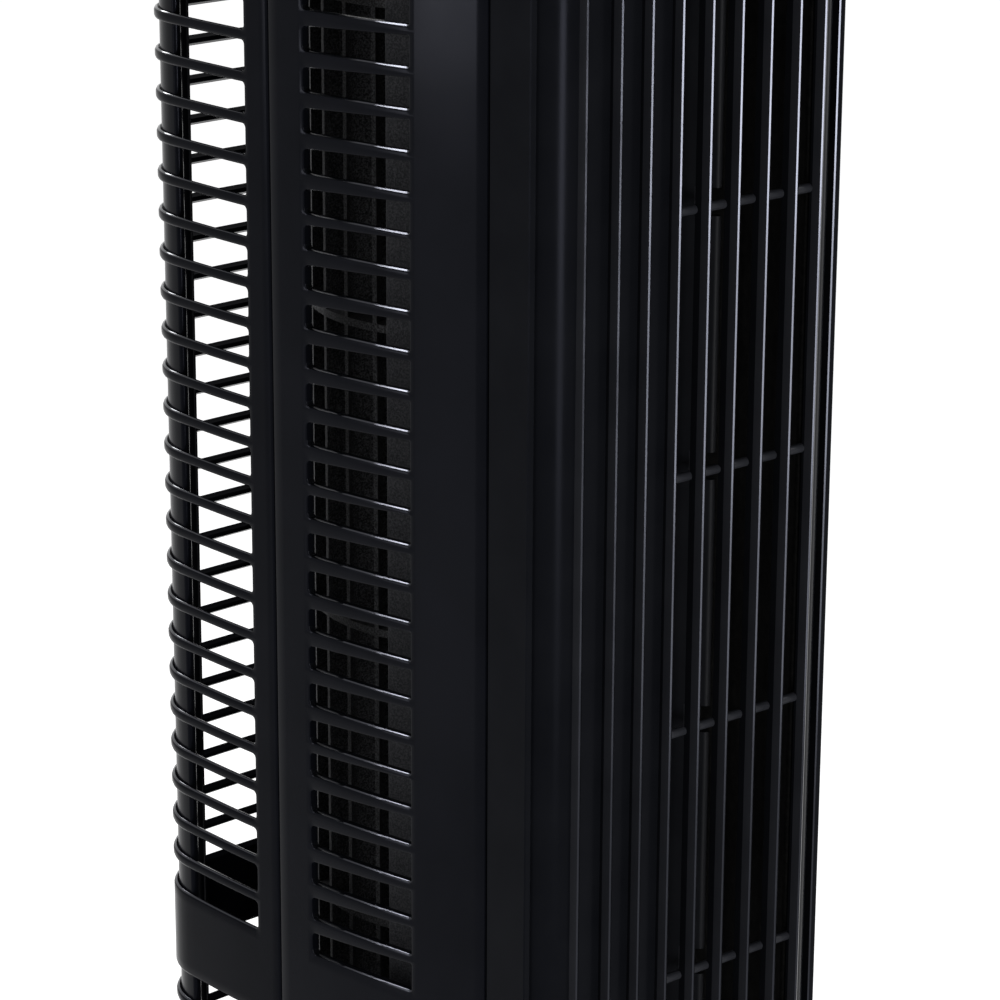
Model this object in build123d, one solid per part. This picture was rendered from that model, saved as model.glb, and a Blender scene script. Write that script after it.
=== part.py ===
from build123d import *
import math
import os

# Tower fan. Millimetres, Z up, the front faces -Y, the floor is Z = 0.
# The tower swings about the Z axis, which stands in the middle of its section.

# Tower section, seen from above
COLUMN_WIDTH = 127.0
COLUMN_DEPTH = 153.4
SIDE_RADIUS = 470.0
BACK_RADIUS = 600.0
WIDEST_FROM_BACK = 24.4
REAR_CORNER_RADIUS = 19.5
FRONT_DEPTH = 21.7
FRONT_CORNER_RADIUS = 16.0
WALL = 2.4
PART_GAP = 0.3

# Heights
FOOT_BOTTOM = 58.0
FOOT_HEIGHT = 70.0
CAP_HEIGHT = 66.0
BAND_HEIGHT = 24.0
FRAME_MARGIN = 6.0

# Side vents: tapered slots in groups, closer together where two groups meet
VENT_FROM_SEAM = 23.2
VENT_LENGTH = 35.8
SLOT_COUNT = 27
SLOT_PITCH = 10.0
SLOT_GROUP = 7
SLOT_FIRST_GROUP = 6
SLOT_GROUP_STEP = 8.93
SLOT_REAR_HEIGHT = 6.0
SLOT_FRONT_HEIGHT = 8.0
SLOT_FRONT_RISE = 0.5
SLOT_CORNER = 1.2

# Rear guard: hoops that run round the back over recessed bars
PARTING_FROM_BACK = 61.4
REAR_POST_WIDTH = 9.6
HOOP_COUNT = 25
HOOP_PITCH = 10.4
HOOP_HEIGHT = 2.8
HOOP_DEPTH = 2.6
BAR_INSET = 1.3
BAR_THICKNESS = 2.2
BAR_SIDE_LEG = 27.4
BAR_BACK_LEG = 20.0
SPINE_WIDTH = 14.0

# Front grille
FIN_PITCH = COLUMN_WIDTH / 13.3
FIN_THICKNESS = 1.5
FIN_DEPTH = 4.7
FINS_EACH_SIDE = 4
EDGE_FIN_INSET = 2.2
FLOOR_INSET = 3.6
FLOOR_CORNER_RADIUS = 13.0
CHEEK_INSET = 1.0
FLOOR_WALL = 2.0
LIP_LENGTH = 5.0
OUTLET_LEFT_FIN = -1
OUTLET_RIGHT_FIN = 4
OUTLET_ABOVE_FOOT = 68.0
OUTLET_BELOW_CAP = 14.0
ROD_DIAMETER = 2.3
ROD_PITCH = 66.4
ROD_ABOVE_SILL = 3.3
ROD_BEHIND_FINS = 0.3

# Air guides
GUIDE_THICKNESS = 2.4
TONGUE_BEHIND_FINS = 2.3
TONGUE_GAP = 4.0
TONGUE_START = -98.0
TONGUE_END = -148.0
NOTCH_HEIGHT = 7.0
NOTCH_DEPTH = 5.0
SCROLL_GAP = 7.0

# Impeller
IMPELLER_RADIUS = 45.0
IMPELLER_FROM_BACK = 69.0
IMPELLER_ABOVE_FOOT = 64.0
SEGMENT_COUNT = 6
SEGMENT_LENGTH = 80.0
DISC_THICKNESS = 2.0
DISC_RIM = 11.0
BLADE_COUNT = 28
BLADE_THICKNESS = 1.1
BLADE_SPAN = 9.0
BLADE_CURVE = 8.0
BLADE_LEAN = 6.4
HUB_RADIUS = 10.0
HUB_LENGTH = 14.0
PIN_RADIUS = 3.0

# Fan motor
MOTOR_RADIUS = 36.0
MOTOR_STANDOFF = 6.0
STACK_LENGTH = 22.0
BELL_LENGTH = 13.0
BELL_WALL = 3.0
ROTOR_RADIUS = 20.0
AIR_GAP = 0.5
SHAFT_RADIUS = 4.0
SHAFT_CLEARANCE = 0.03
BUSH_RADIUS = 8.0
BOLT_CIRCLE = 31.0
BOLT_RADIUS = 2.0
BOLT_CLEARANCE = 0.1
BOLT_HEAD = 3.6

# Decks across the tower, at the motor and at the upper bearing
DECK_THICKNESS = 3.0
LEDGE_WIDTH = 4.0
HOLDER_RADIUS = 15.0
RUBBER_RADIUS = 10.0
TOP_BUSH_RADIUS = 5.5
HOLDER_LENGTH = 10.0

# Cap and controls
CAP_TOP = 4.0
CAP_ROUND = 5.0
PANEL_LENGTH = 84.0
PANEL_WIDTH = 40.0
PANEL_CORNER = 8.0
PANEL_THICKNESS = 2.0
PANEL_LEDGE = 3.0
PANEL_FROM_FRONT = 34.0
BUTTON_COUNT = 4
BUTTON_PITCH = 18.5
BUTTON_RADIUS = 6.2
BUTTON_GAP = 0.4
BUTTON_PROUD = 1.6
BUTTON_TRAVEL = 1.2
BUTTON_FLANGE = 1.4
BUTTON_BACK = 5.0
BUTTON_MARGIN = 2.0
LENS_LENGTH = 40.0
LENS_WIDTH = 4.0
LENS_FROM_BUTTONS = 12.0
LENS_FLANGE = 1.4
BOARD_DROP = 12.0
BOARD_THICKNESS = 1.6
BOARD_MARGIN = 2.5
SWITCH_SIZE = 6.0
SCREEN_POST = 2.6

# Base
BASE_RADIUS = 125.0
BASE_RIM = 7.0
BASE_WALL = 3.0
NECK_RADIUS = 50.0
NECK_FOOT_RADIUS = 58.0
NECK_HEIGHT = 12.0
BASE_SEAT = 4.0
FOOT_PAD_RADIUS = 9.0
FOOT_PAD_HEIGHT = 3.0
FOOT_PAD_COUNT = 6
FOOT_PAD_CIRCLE = 104.0
PLATE_THICKNESS = 2.0
BALLAST_INNER = 62.0
BALLAST_OUTER = 98.0
BALLAST_HEIGHT = 8.0
BASE_SCREW_CIRCLE = 47.0
BASE_SCREW_COUNT = 4
SCREW_RADIUS = 1.6
SCREW_HEAD = 3.4
SCREW_HEAD_HEIGHT = 1.8
SCREW_LENGTH = 14.0
BOSS_WALL = 2.6

# Swing
POST_RADIUS = 14.0
POST_BORE = 9.0
POST_FLANGE = 34.0
POST_CLEARANCE = 0.05
WASHER_THICKNESS = 2.0
SLEEVE_RADIUS = 20.0
SLEEVE_LENGTH = 20.0
RETAINER_RADIUS = 19.0
RETAINER_THICKNESS = 2.0
GEAR_MODULE = 1.25
SECTOR_TEETH = 36
SECTOR_HALF_ANGLE = 62.0
PINION_TEETH = 14
GEAR_WIDTH = 8.0
PRESSURE_ANGLE = 20.0
BACKLASH = 0.25
PINION_SHAFT = 2.5
SWING_MOTOR_RADIUS = 14.0
SWING_MOTOR_LENGTH = 18.0
SWING_EAR_SPAN = 35.0
SWING_EAR_RADIUS = 3.5
SWING_EAR_THICKNESS = 1.0

# Cord outlet in the back of the foot, and the guard's screws
GLAND_RADIUS = 6.0
GLAND_BORE = 3.2
GLAND_FLANGE = 8.5
GLAND_FLANGE_THICKNESS = 2.0
GLAND_ABOVE_FOOT = 22.0
TAB_SPACING = 70.0
TAB_WIDTH = 12.0
TAB_LENGTH = 18.0
TAB_THICKNESS = 6.0
TAB_SCREW_LENGTH = 9.0
COUNTERBORE = 0.9

# Places that follow from the sizes
FRONT_Y = -COLUMN_DEPTH / 2
BACK_Y = COLUMN_DEPTH / 2
SEAM_Y = FRONT_Y + FRONT_DEPTH
WIDEST_Y = BACK_Y - WIDEST_FROM_BACK
PARTING_Y = BACK_Y - PARTING_FROM_BACK
VENT_FRONT_Y = SEAM_Y + VENT_FROM_SEAM
REAR_WINDOW_Y = PARTING_Y + REAR_POST_WIDTH
IMPELLER_Y = BACK_Y - IMPELLER_FROM_BACK
WINDOW_HEIGHT = (HOOP_COUNT + 1) * HOOP_PITCH - HOOP_HEIGHT
SHELL_BOTTOM = FOOT_BOTTOM + FOOT_HEIGHT
SHELL_HEIGHT = 2 * (FRAME_MARGIN + WINDOW_HEIGHT) + BAND_HEIGHT
SHELL_TOP = SHELL_BOTTOM + SHELL_HEIGHT
LOWER_SILL = SHELL_BOTTOM + FRAME_MARGIN
BAND_BOTTOM = LOWER_SILL + WINDOW_HEIGHT
UPPER_SILL = BAND_BOTTOM + BAND_HEIGHT
CAP_TOP_Z = SHELL_TOP + CAP_HEIGHT
IMPELLER_BOTTOM = SHELL_BOTTOM + IMPELLER_ABOVE_FOOT
IMPELLER_TOP = IMPELLER_BOTTOM + SEGMENT_COUNT * SEGMENT_LENGTH
FIN_BACK_Y = FRONT_Y + FIN_DEPTH
ROD_Y = FIN_BACK_Y + ROD_BEHIND_FINS
OUTLET_LEFT = OUTLET_LEFT_FIN * FIN_PITCH
OUTLET_RIGHT = OUTLET_RIGHT_FIN * FIN_PITCH
OUTLET_BOTTOM = SHELL_BOTTOM + OUTLET_ABOVE_FOOT
OUTLET_TOP = SHELL_TOP - OUTLET_BELOW_CAP
BASE_TOP = FOOT_BOTTOM - WASHER_THICKNESS
MOTOR_BOTTOM = SHELL_BOTTOM + MOTOR_STANDOFF
STACK_BOTTOM = MOTOR_BOTTOM + BELL_LENGTH
STACK_TOP = STACK_BOTTOM + STACK_LENGTH
MOTOR_TOP = STACK_TOP + BELL_LENGTH
BUSH_LENGTH = BELL_LENGTH - BELL_WALL
LEDGE_Z = SHELL_BOTTOM - DECK_THICKNESS
SLEEVE_TOP = FOOT_BOTTOM + SLEEVE_LENGTH
RETAINER_TOP = SLEEVE_TOP + PART_GAP + RETAINER_THICKNESS
GEAR_BOTTOM = RETAINER_TOP
GEAR_TOP = GEAR_BOTTOM + GEAR_WIDTH
SWING_MOTOR_BOTTOM = GEAR_TOP + 2 * PART_GAP
PINION_X = GEAR_MODULE * (SECTOR_TEETH + PINION_TEETH) / 2
PANEL_Y = FRONT_Y + PANEL_FROM_FRONT
PANEL_UNDER = CAP_TOP_Z - PANEL_THICKNESS
BOARD_TOP = PANEL_UNDER - BOARD_DROP
BUTTON_Y = PANEL_Y - PANEL_WIDTH / 2 + BUTTON_RADIUS + BUTTON_FLANGE + PANEL_LEDGE + BUTTON_MARGIN
LENS_Y = BUTTON_Y + LENS_FROM_BUTTONS
BIG = 2 * (COLUMN_WIDTH + COLUMN_DEPTH)


def side_half(y, inset=0.0):
    """Half the tower's width at y, measured inset mm inside the skin."""
    radius = SIDE_RADIUS - inset
    return COLUMN_WIDTH / 2 - SIDE_RADIUS + math.sqrt(radius**2 - (y - WIDEST_Y) ** 2)


def back_at(x, inset=0.0):
    """Y of the back at x, measured inset mm inside the skin."""
    radius = BACK_RADIUS - inset
    return BACK_Y - BACK_RADIUS + math.sqrt(radius**2 - x**2)


def span(x0, x1, y0, y1):
    """A rectangle between two corners."""
    return Pos((x0 + x1) / 2, (y0 + y1) / 2) * Rectangle(x1 - x0, y1 - y0)


def rear_outline(inset, front_y):
    """The tower's section behind front_y: two long side arcs, a slack back arc and round corners."""
    reach = SIDE_RADIUS - COLUMN_WIDTH / 2
    section = Pos(reach, WIDEST_Y) * Circle(SIDE_RADIUS - inset)
    section &= Pos(-reach, WIDEST_Y) * Circle(SIDE_RADIUS - inset)
    section &= Pos(0, BACK_Y - BACK_RADIUS) * Circle(BACK_RADIUS - inset)
    section &= span(-BIG, BIG, front_y, BACK_Y + 1)
    corners = section.vertices().sort_by(Axis.Y)[-2:]
    return fillet(corners, max(REAR_CORNER_RADIUS - inset, WALL / 2))


def front_outline(inset, back_y):
    """The grille's section in front of back_y: straight cheeks and two round front corners."""
    half = side_half(SEAM_Y, inset)
    section = span(-half, half, FRONT_Y + inset, back_y)
    corners = section.vertices().sort_by(Axis.Y)[:2]
    return fillet(corners, max(FRONT_CORNER_RADIUS - inset, WALL / 2))


def floor_outline(inset, back_y):
    """The grille's floor between the fins: nearly flush at the seam and set back across the front."""
    half = side_half(SEAM_Y) - CHEEK_INSET - inset
    section = span(-half, half, FRONT_Y + FLOOR_INSET + inset, back_y)
    corners = section.vertices().sort_by(Axis.Y)[:2]
    return fillet(corners, FLOOR_CORNER_RADIUS - inset)


def floor_at(x, inset):
    """Y of the floor's face at x, measured inset mm inside."""
    radius = FLOOR_CORNER_RADIUS - inset
    over = max(0.0, abs(x) - (side_half(SEAM_Y) - CHEEK_INSET - FLOOR_CORNER_RADIUS))
    return FRONT_Y + FLOOR_INSET + FLOOR_CORNER_RADIUS - math.sqrt(radius**2 - over**2)


def full_outline(inset):
    """The whole section of the tower."""
    return rear_outline(inset, SEAM_Y) + front_outline(inset, SEAM_Y)


def skin(inset, depth):
    """The rear section's wall, from inset to inset + depth, open at the front."""
    return rear_outline(inset, SEAM_Y) - rear_outline(inset + depth, SEAM_Y - WALL)


def prism(section, z0, z1):
    """A section raised from z0 to z1."""
    return extrude(Pos(0, 0, z0) * section, z1 - z0)


def rod(x, y, z0, z1, radius):
    """A round bar along Z."""
    return Pos(x, y, z0) * Cylinder(radius, z1 - z0, align=(Align.CENTER, Align.CENTER, Align.MIN))


def ring(x, y, z0, z1, outer, inner):
    """A round sleeve along Z."""
    return prism(Pos(x, y) * (Circle(outer) - Circle(inner)), z0, z1)


def polar(count, radius, first=0.0):
    """Points spaced evenly on a circle."""
    for index in range(count):
        angle = math.radians(first + 360.0 * index / count)
        yield radius * math.cos(angle), radius * math.sin(angle)


def slot_heights():
    """The slots' lower edges in one section, counted away from the band."""
    height = 0.0
    for index in range(SLOT_COUNT):
        yield height
        last_of_group = (index + 1 - SLOT_FIRST_GROUP) % SLOT_GROUP == 0
        height += SLOT_GROUP_STEP if last_of_group else SLOT_PITCH


def slot_section():
    """One side slot, taller at the front, with square front corners and round rear ones."""
    rear = VENT_FRONT_Y + VENT_LENGTH
    corners = [
        (VENT_FRONT_Y, SLOT_FRONT_RISE),
        (rear, 0),
        (rear, SLOT_REAR_HEIGHT),
        (VENT_FRONT_Y, SLOT_FRONT_HEIGHT),
    ]
    section = make_face(Polyline(*corners, close=True))
    return fillet(section.vertices().sort_by(Axis.X)[-2:], SLOT_CORNER)


def side_panel(side):
    """A side of the tower from the front seam to the rear guard, with its two ladders of slots."""
    wall = skin(0, WALL) & span(-BIG if side < 0 else 0, 0 if side < 0 else BIG, SEAM_Y, PARTING_Y)
    panel = prism(wall, SHELL_BOTTOM, SHELL_TOP)
    cutter = extrude(Plane.YZ * slot_section(), COLUMN_WIDTH * side)
    cutters = []
    for height in slot_heights():
        cutters.append(Pos(0, 0, UPPER_SILL + height) * cutter)
        cutters.append(Pos(0, 0, BAND_BOTTOM - height - SLOT_REAR_HEIGHT) * cutter)
    return panel - cutters


def tab_blocks(z0, z1, inset):
    """The two blocks inside the back wall that take the guard's screws."""
    outer = back_at(TAB_SPACING / 2 + TAB_WIDTH / 2, inset)
    for side in (-1, 1):
        middle = side * TAB_SPACING / 2
        inner = back_at(TAB_SPACING / 2 + TAB_WIDTH / 2, WALL + PART_GAP) - TAB_THICKNESS
        yield prism(span(middle - TAB_WIDTH / 2, middle + TAB_WIDTH / 2, inner, outer), z0, z1)


def tab_screw_places():
    """Middle of each screw head's seat in the back of the foot and the cap."""
    seat = back_at(TAB_SPACING / 2 + SCREW_HEAD) - COUNTERBORE
    for side in (-1, 1):
        yield side * TAB_SPACING / 2, seat, SHELL_BOTTOM - TAB_LENGTH / 2
        yield side * TAB_SPACING / 2, seat, SHELL_TOP + TAB_LENGTH / 2


def along_y(place, radius, length):
    """A round bar from a place towards the front, or towards the back if length is negative."""
    x, y, z = place
    return Pos(x, y - length / 2, z) * Rot(90, 0, 0) * Cylinder(radius, abs(length))


def rear_guard():
    """The back of the tower: posts, three bands, recessed corner bars and spine, and the hoops."""
    behind = span(-BIG, BIG, PARTING_Y + PART_GAP, BIG)
    wall = skin(0, WALL) & behind
    pieces = [prism(wall & span(-BIG, BIG, 0, REAR_WINDOW_Y), SHELL_BOTTOM, SHELL_TOP)]
    pieces.append(prism(wall, SHELL_BOTTOM, LOWER_SILL))
    pieces.append(prism(wall, BAND_BOTTOM, UPPER_SILL))
    pieces.append(prism(wall, SHELL_TOP - FRAME_MARGIN, SHELL_TOP))
    bar = skin(BAR_INSET, BAR_THICKNESS)
    side_edge = COLUMN_WIDTH / 2 - BAR_BACK_LEG
    corner = span(side_edge, BIG, BACK_Y - BAR_SIDE_LEG, BIG)
    corner += span(-BIG, -side_edge, BACK_Y - BAR_SIDE_LEG, BIG)
    corner += span(-SPINE_WIDTH / 2, SPINE_WIDTH / 2, IMPELLER_Y, BIG)
    pieces.append(prism(bar & corner, SHELL_BOTTOM, SHELL_TOP))
    hoop = skin(0, HOOP_DEPTH) & span(-BIG, BIG, REAR_WINDOW_Y - WALL, BIG)
    for index in range(1, HOOP_COUNT + 1):
        for sill in (LOWER_SILL, UPPER_SILL):
            top = sill + index * HOOP_PITCH
            pieces.append(prism(hoop, top - HOOP_HEIGHT, top))
    pieces += tab_blocks(SHELL_BOTTOM - TAB_LENGTH, LOWER_SILL, WALL + PART_GAP)
    pieces += tab_blocks(SHELL_TOP - FRAME_MARGIN, SHELL_TOP + TAB_LENGTH, WALL + PART_GAP)
    pieces += tab_blocks(SHELL_BOTTOM, LOWER_SILL, WALL / 2)
    pieces += tab_blocks(SHELL_TOP - FRAME_MARGIN, SHELL_TOP, WALL / 2)
    guard = pieces[0].fuse(*pieces[1:])
    reach = TAB_THICKNESS + 2 * WALL
    return guard - [along_y(place, SCREW_RADIUS + BOLT_CLEARANCE, reach) for place in tab_screw_places()]


def rod_heights():
    """The grille's cross rods, placed from the upper sill, as many as the outlet holds."""
    lowest = math.ceil((OUTLET_BOTTOM + ROD_DIAMETER * 4 - UPPER_SILL - ROD_ABOVE_SILL) / ROD_PITCH)
    height = UPPER_SILL + ROD_ABOVE_SILL + lowest * ROD_PITCH
    while height < OUTLET_TOP - ROD_DIAMETER * 4:
        yield height
        height += ROD_PITCH


def front_grille():
    """The front moulding: a floor set back under upright fins, open in the outlet, with cross rods."""
    floor = floor_outline(0, SEAM_Y) - floor_outline(FLOOR_WALL, SEAM_Y + WALL)
    lip = front_outline(WALL + PART_GAP, SEAM_Y + LIP_LENGTH)
    lip -= front_outline(WALL + PART_GAP + FLOOR_WALL, SEAM_Y + LIP_LENGTH + WALL)
    lip &= span(-BIG, BIG, SEAM_Y - LIP_LENGTH, BIG)
    grille = prism(floor + lip, SHELL_BOTTOM, SHELL_TOP)
    outlet = span(OUTLET_LEFT, OUTLET_RIGHT, FRONT_Y - WALL, FRONT_Y + FLOOR_INSET + 2 * FLOOR_WALL)
    grille -= prism(outlet, OUTLET_BOTTOM, OUTLET_TOP)
    envelope = front_outline(0, SEAM_Y)
    half = side_half(SEAM_Y)
    places = [index * FIN_PITCH for index in range(-FINS_EACH_SIDE, FINS_EACH_SIDE + 1)]
    pieces = []
    for x in places:
        blade = span(x - FIN_THICKNESS / 2, x + FIN_THICKNESS / 2, FRONT_Y, FIN_BACK_Y)
        pieces.append(prism(blade & envelope, SHELL_BOTTOM, SHELL_TOP))
    edge = envelope - floor_outline(FLOOR_WALL / 2, SEAM_Y + WALL)
    for side in (-1, 1):
        x = side * (half - EDGE_FIN_INSET)
        blade = span(x - FIN_THICKNESS / 2, x + FIN_THICKNESS / 2, FRONT_Y, FRONT_Y + FRONT_CORNER_RADIUS)
        pieces.append(prism(blade & edge, SHELL_BOTTOM, SHELL_TOP))
    bar = Cylinder(ROD_DIAMETER / 2, OUTLET_RIGHT - OUTLET_LEFT + FIN_THICKNESS)
    bar = Pos((OUTLET_LEFT + OUTLET_RIGHT) / 2, ROD_Y) * Rot(0, 90, 0) * bar
    pieces += [Pos(0, 0, height) * bar for height in rod_heights()]
    return grille.fuse(*pieces)


def strip(start, end, thickness):
    """A straight wall seen from above, with round ends."""
    section = trace(Line(start, end), thickness)
    return section + Pos(*start) * Circle(thickness / 2) + Pos(*end) * Circle(thickness / 2)


def around(radius, degrees):
    """A point at an angle round the impeller's axis."""
    angle = math.radians(degrees)
    return radius * math.cos(angle), IMPELLER_Y + radius * math.sin(angle)


def outlet_tongue():
    """The cut-off guide: a vane up to the fins, a lip round the drum and a flange to the side."""
    lip = IMPELLER_RADIUS + TONGUE_GAP + GUIDE_THICKNESS / 2
    front = (FIN_PITCH, FIN_BACK_Y + TONGUE_BEHIND_FINS + GUIDE_THICKNESS / 2)
    turn = around(lip, TONGUE_START)
    end = around(lip, TONGUE_END)
    middle = around(lip, (TONGUE_START + TONGUE_END) / 2)
    flange_y = VENT_FRONT_Y - 2 * GUIDE_THICKNESS
    flange = (PART_GAP + GUIDE_THICKNESS / 2 - side_half(flange_y, WALL), flange_y)
    section = strip(front, turn, GUIDE_THICKNESS) + trace(ThreePointArc(turn, middle, end), GUIDE_THICKNESS)
    section += strip(end, flange, GUIDE_THICKNESS)
    guide = prism(section, SHELL_BOTTOM, SHELL_TOP - DECK_THICKNESS)
    notch = Box(4 * GUIDE_THICKNESS, 2 * NOTCH_DEPTH, NOTCH_HEIGHT)
    place = front[1] - GUIDE_THICKNESS / 2
    return guide - [Pos(front[0], place, height) * notch for height in rod_heights()]


def scroll_guide():
    """The scroll wall on the other side of the outlet, easing away from the drum towards the front."""
    near = IMPELLER_RADIUS + SCROLL_GAP
    edge = OUTLET_RIGHT + FIN_THICKNESS
    start = (edge, floor_at(edge + GUIDE_THICKNESS / 2, FLOOR_WALL) + PART_GAP + GUIDE_THICKNESS / 2)
    end = around(near, -8)
    flank = side_half(SEAM_Y) - WALL - FLOOR_WALL - 3 * PART_GAP - GUIDE_THICKNESS / 2
    path = Spline(start, (flank, SEAM_Y + LIP_LENGTH), end)
    section = trace(path, GUIDE_THICKNESS)
    section += [Pos(*start) * Circle(GUIDE_THICKNESS / 2), Pos(*end) * Circle(GUIDE_THICKNESS / 2)]
    return prism(section, SHELL_BOTTOM, SHELL_TOP - DECK_THICKNESS)


def blade_section():
    """One forward-curved blade, a thin arc between two radii."""
    middle = IMPELLER_RADIUS - BLADE_SPAN / 2
    arc = Circle(BLADE_CURVE) - Circle(BLADE_CURVE - BLADE_THICKNESS)
    crescent = Pos(middle, BLADE_LEAN) * arc
    crescent &= Circle(IMPELLER_RADIUS) - Circle(IMPELLER_RADIUS - BLADE_SPAN)
    return crescent & span(0, BIG, -BLADE_CURVE, BLADE_LEAN)


def impeller():
    """The drum: long curved blades held by rims, with a closed disc and a hub at each end."""
    blade = prism(blade_section(), IMPELLER_BOTTOM, IMPELLER_TOP)
    pieces = [Rot(0, 0, 360 * index / BLADE_COUNT) * blade for index in range(BLADE_COUNT)]
    for index in range(1, SEGMENT_COUNT):
        middle = IMPELLER_BOTTOM + index * SEGMENT_LENGTH
        low, high = middle - DISC_THICKNESS / 2, middle + DISC_THICKNESS / 2
        pieces.append(ring(0, 0, low, high, IMPELLER_RADIUS, IMPELLER_RADIUS - DISC_RIM))
    drum = rod(0, 0, IMPELLER_BOTTOM - DISC_THICKNESS, IMPELLER_BOTTOM, IMPELLER_RADIUS)
    pieces.append(rod(0, 0, IMPELLER_TOP, IMPELLER_TOP + DISC_THICKNESS, IMPELLER_RADIUS))
    pieces.append(rod(0, 0, IMPELLER_BOTTOM, IMPELLER_BOTTOM + HUB_LENGTH, HUB_RADIUS))
    pieces.append(rod(0, 0, IMPELLER_TOP - HUB_LENGTH, IMPELLER_TOP, HUB_RADIUS))
    drum = drum.fuse(*pieces)
    foot, head = IMPELLER_BOTTOM - 2 * DISC_THICKNESS, IMPELLER_TOP + 2 * DISC_THICKNESS
    drum -= rod(0, 0, foot, IMPELLER_BOTTOM + HUB_LENGTH + 1, SHAFT_RADIUS + SHAFT_CLEARANCE)
    drum -= rod(0, 0, IMPELLER_TOP - HUB_LENGTH - 1, head, PIN_RADIUS + SHAFT_CLEARANCE)
    bore = Rot(0, 90, 0) * Cylinder(SCREW_RADIUS + BOLT_CLEARANCE, 2 * HUB_RADIUS)
    drum -= Pos(HUB_RADIUS, 0, IMPELLER_BOTTOM + HUB_LENGTH / 2) * bore
    return Pos(0, IMPELLER_Y) * drum


def bolt_places(first=45.0):
    """Where the motor's through bolts stand."""
    for x, y in polar(4, BOLT_CIRCLE, first):
        yield x, IMPELLER_Y + y


def motor_bell(closed_z, inward):
    """An end bell: a cup over the windings with a collar for its bush."""
    open_z = closed_z + inward * BELL_LENGTH
    floor_z = closed_z + inward * BELL_WALL
    collar_z = open_z - inward * BELL_WALL
    low, high = sorted((closed_z, open_z))
    bell = rod(0, IMPELLER_Y, low, high, MOTOR_RADIUS)
    bell -= rod(0, IMPELLER_Y, *sorted((floor_z, open_z)), BOLT_CIRCLE - BOLT_HEAD)
    bell += rod(0, IMPELLER_Y, *sorted((floor_z, collar_z)), BUSH_RADIUS + BELL_WALL)
    bell -= rod(0, IMPELLER_Y, low - 1, high + 1, BUSH_RADIUS + SHAFT_CLEARANCE)
    return bell - [rod(x, y, low - 1, high + 1, BOLT_RADIUS + BOLT_CLEARANCE) for x, y in bolt_places()]


def motor_stack():
    """The stator's laminations, bored for the rotor and the through bolts."""
    stack = ring(0, IMPELLER_Y, STACK_BOTTOM, STACK_TOP, MOTOR_RADIUS, ROTOR_RADIUS + AIR_GAP)
    radius = BOLT_RADIUS + BOLT_CLEARANCE
    return stack - [rod(x, y, STACK_BOTTOM - 1, STACK_TOP + 1, radius) for x, y in bolt_places()]


def motor_bushes():
    """The two sleeve bearings of the fan motor."""
    bore = SHAFT_RADIUS + SHAFT_CLEARANCE
    lower = ring(0, IMPELLER_Y, MOTOR_BOTTOM, MOTOR_BOTTOM + BUSH_LENGTH, BUSH_RADIUS, bore)
    upper = ring(0, IMPELLER_Y, MOTOR_TOP - BUSH_LENGTH, MOTOR_TOP, BUSH_RADIUS, bore)
    return Compound(children=[lower, upper])


def motor_rotor():
    """The rotor on its shaft."""
    length = STACK_LENGTH - 2 * AIR_GAP
    low = (STACK_BOTTOM + STACK_TOP - length) / 2
    return ring(0, IMPELLER_Y, low, low + length, ROTOR_RADIUS, SHAFT_RADIUS + SHAFT_CLEARANCE)


def motor_shaft():
    """The shaft, from below the motor up into the drum's hub."""
    foot = MOTOR_BOTTOM - MOTOR_STANDOFF / 2
    return rod(0, IMPELLER_Y, foot, IMPELLER_BOTTOM + HUB_LENGTH, SHAFT_RADIUS)


def motor_bolts():
    """The four bolts through the motor into the deck's standoffs."""
    bolts = []
    for x, y in bolt_places():
        shank = rod(x, y, SHELL_BOTTOM, MOTOR_TOP, BOLT_RADIUS)
        bolts.append(shank + rod(x, y, MOTOR_TOP, MOTOR_TOP + BOLT_HEAD / 2, BOLT_HEAD))
    return Compound(children=bolts)


def motor_deck():
    """The plate across the top of the foot that carries the motor on four standoffs."""
    deck = prism(full_outline(WALL + PART_GAP), SHELL_BOTTOM - DECK_THICKNESS, SHELL_BOTTOM)
    for x, y in bolt_places():
        deck += rod(x, y, SHELL_BOTTOM, MOTOR_BOTTOM, BOLT_HEAD + BOLT_RADIUS)
        deck -= rod(x, y, SHELL_BOTTOM, MOTOR_BOTTOM + 1, BOLT_RADIUS + BOLT_CLEARANCE)
    deck -= rod(0, IMPELLER_Y, 0, SHELL_TOP, HUB_RADIUS)
    room = TAB_THICKNESS + WALL + 2 * PART_GAP
    for side in (-1, 1):
        middle = side * TAB_SPACING / 2
        half = TAB_WIDTH / 2 + PART_GAP
        corner = back_at(TAB_SPACING / 2 + TAB_WIDTH / 2, WALL + PART_GAP)
        deck -= prism(span(middle - half, middle + half, corner - room + WALL, BIG), 0, SHELL_TOP)
    return deck


def bearing_deck():
    """The plate under the cap with the holder for the drum's upper bearing."""
    inner = rear_outline(BAR_INSET + BAR_THICKNESS + PART_GAP, SEAM_Y + LIP_LENGTH + PART_GAP)
    inner += front_outline(WALL + FLOOR_WALL + 2 * PART_GAP, SEAM_Y + LIP_LENGTH + PART_GAP)
    inner &= floor_outline(FLOOR_WALL + PART_GAP, SEAM_Y) + span(-BIG, BIG, SEAM_Y, BIG)
    tabs = back_at(TAB_SPACING / 2 + TAB_WIDTH / 2, WALL + PART_GAP) - TAB_THICKNESS
    inner -= span(-BIG, BIG, tabs - PART_GAP, BIG)
    deck = prism(inner, SHELL_TOP - DECK_THICKNESS, SHELL_TOP)
    deck += rod(0, IMPELLER_Y, SHELL_TOP - HOLDER_LENGTH, SHELL_TOP, HOLDER_RADIUS)
    return deck - rod(0, IMPELLER_Y, 0, SHELL_TOP + 1, RUBBER_RADIUS + PART_GAP / 10)


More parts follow.
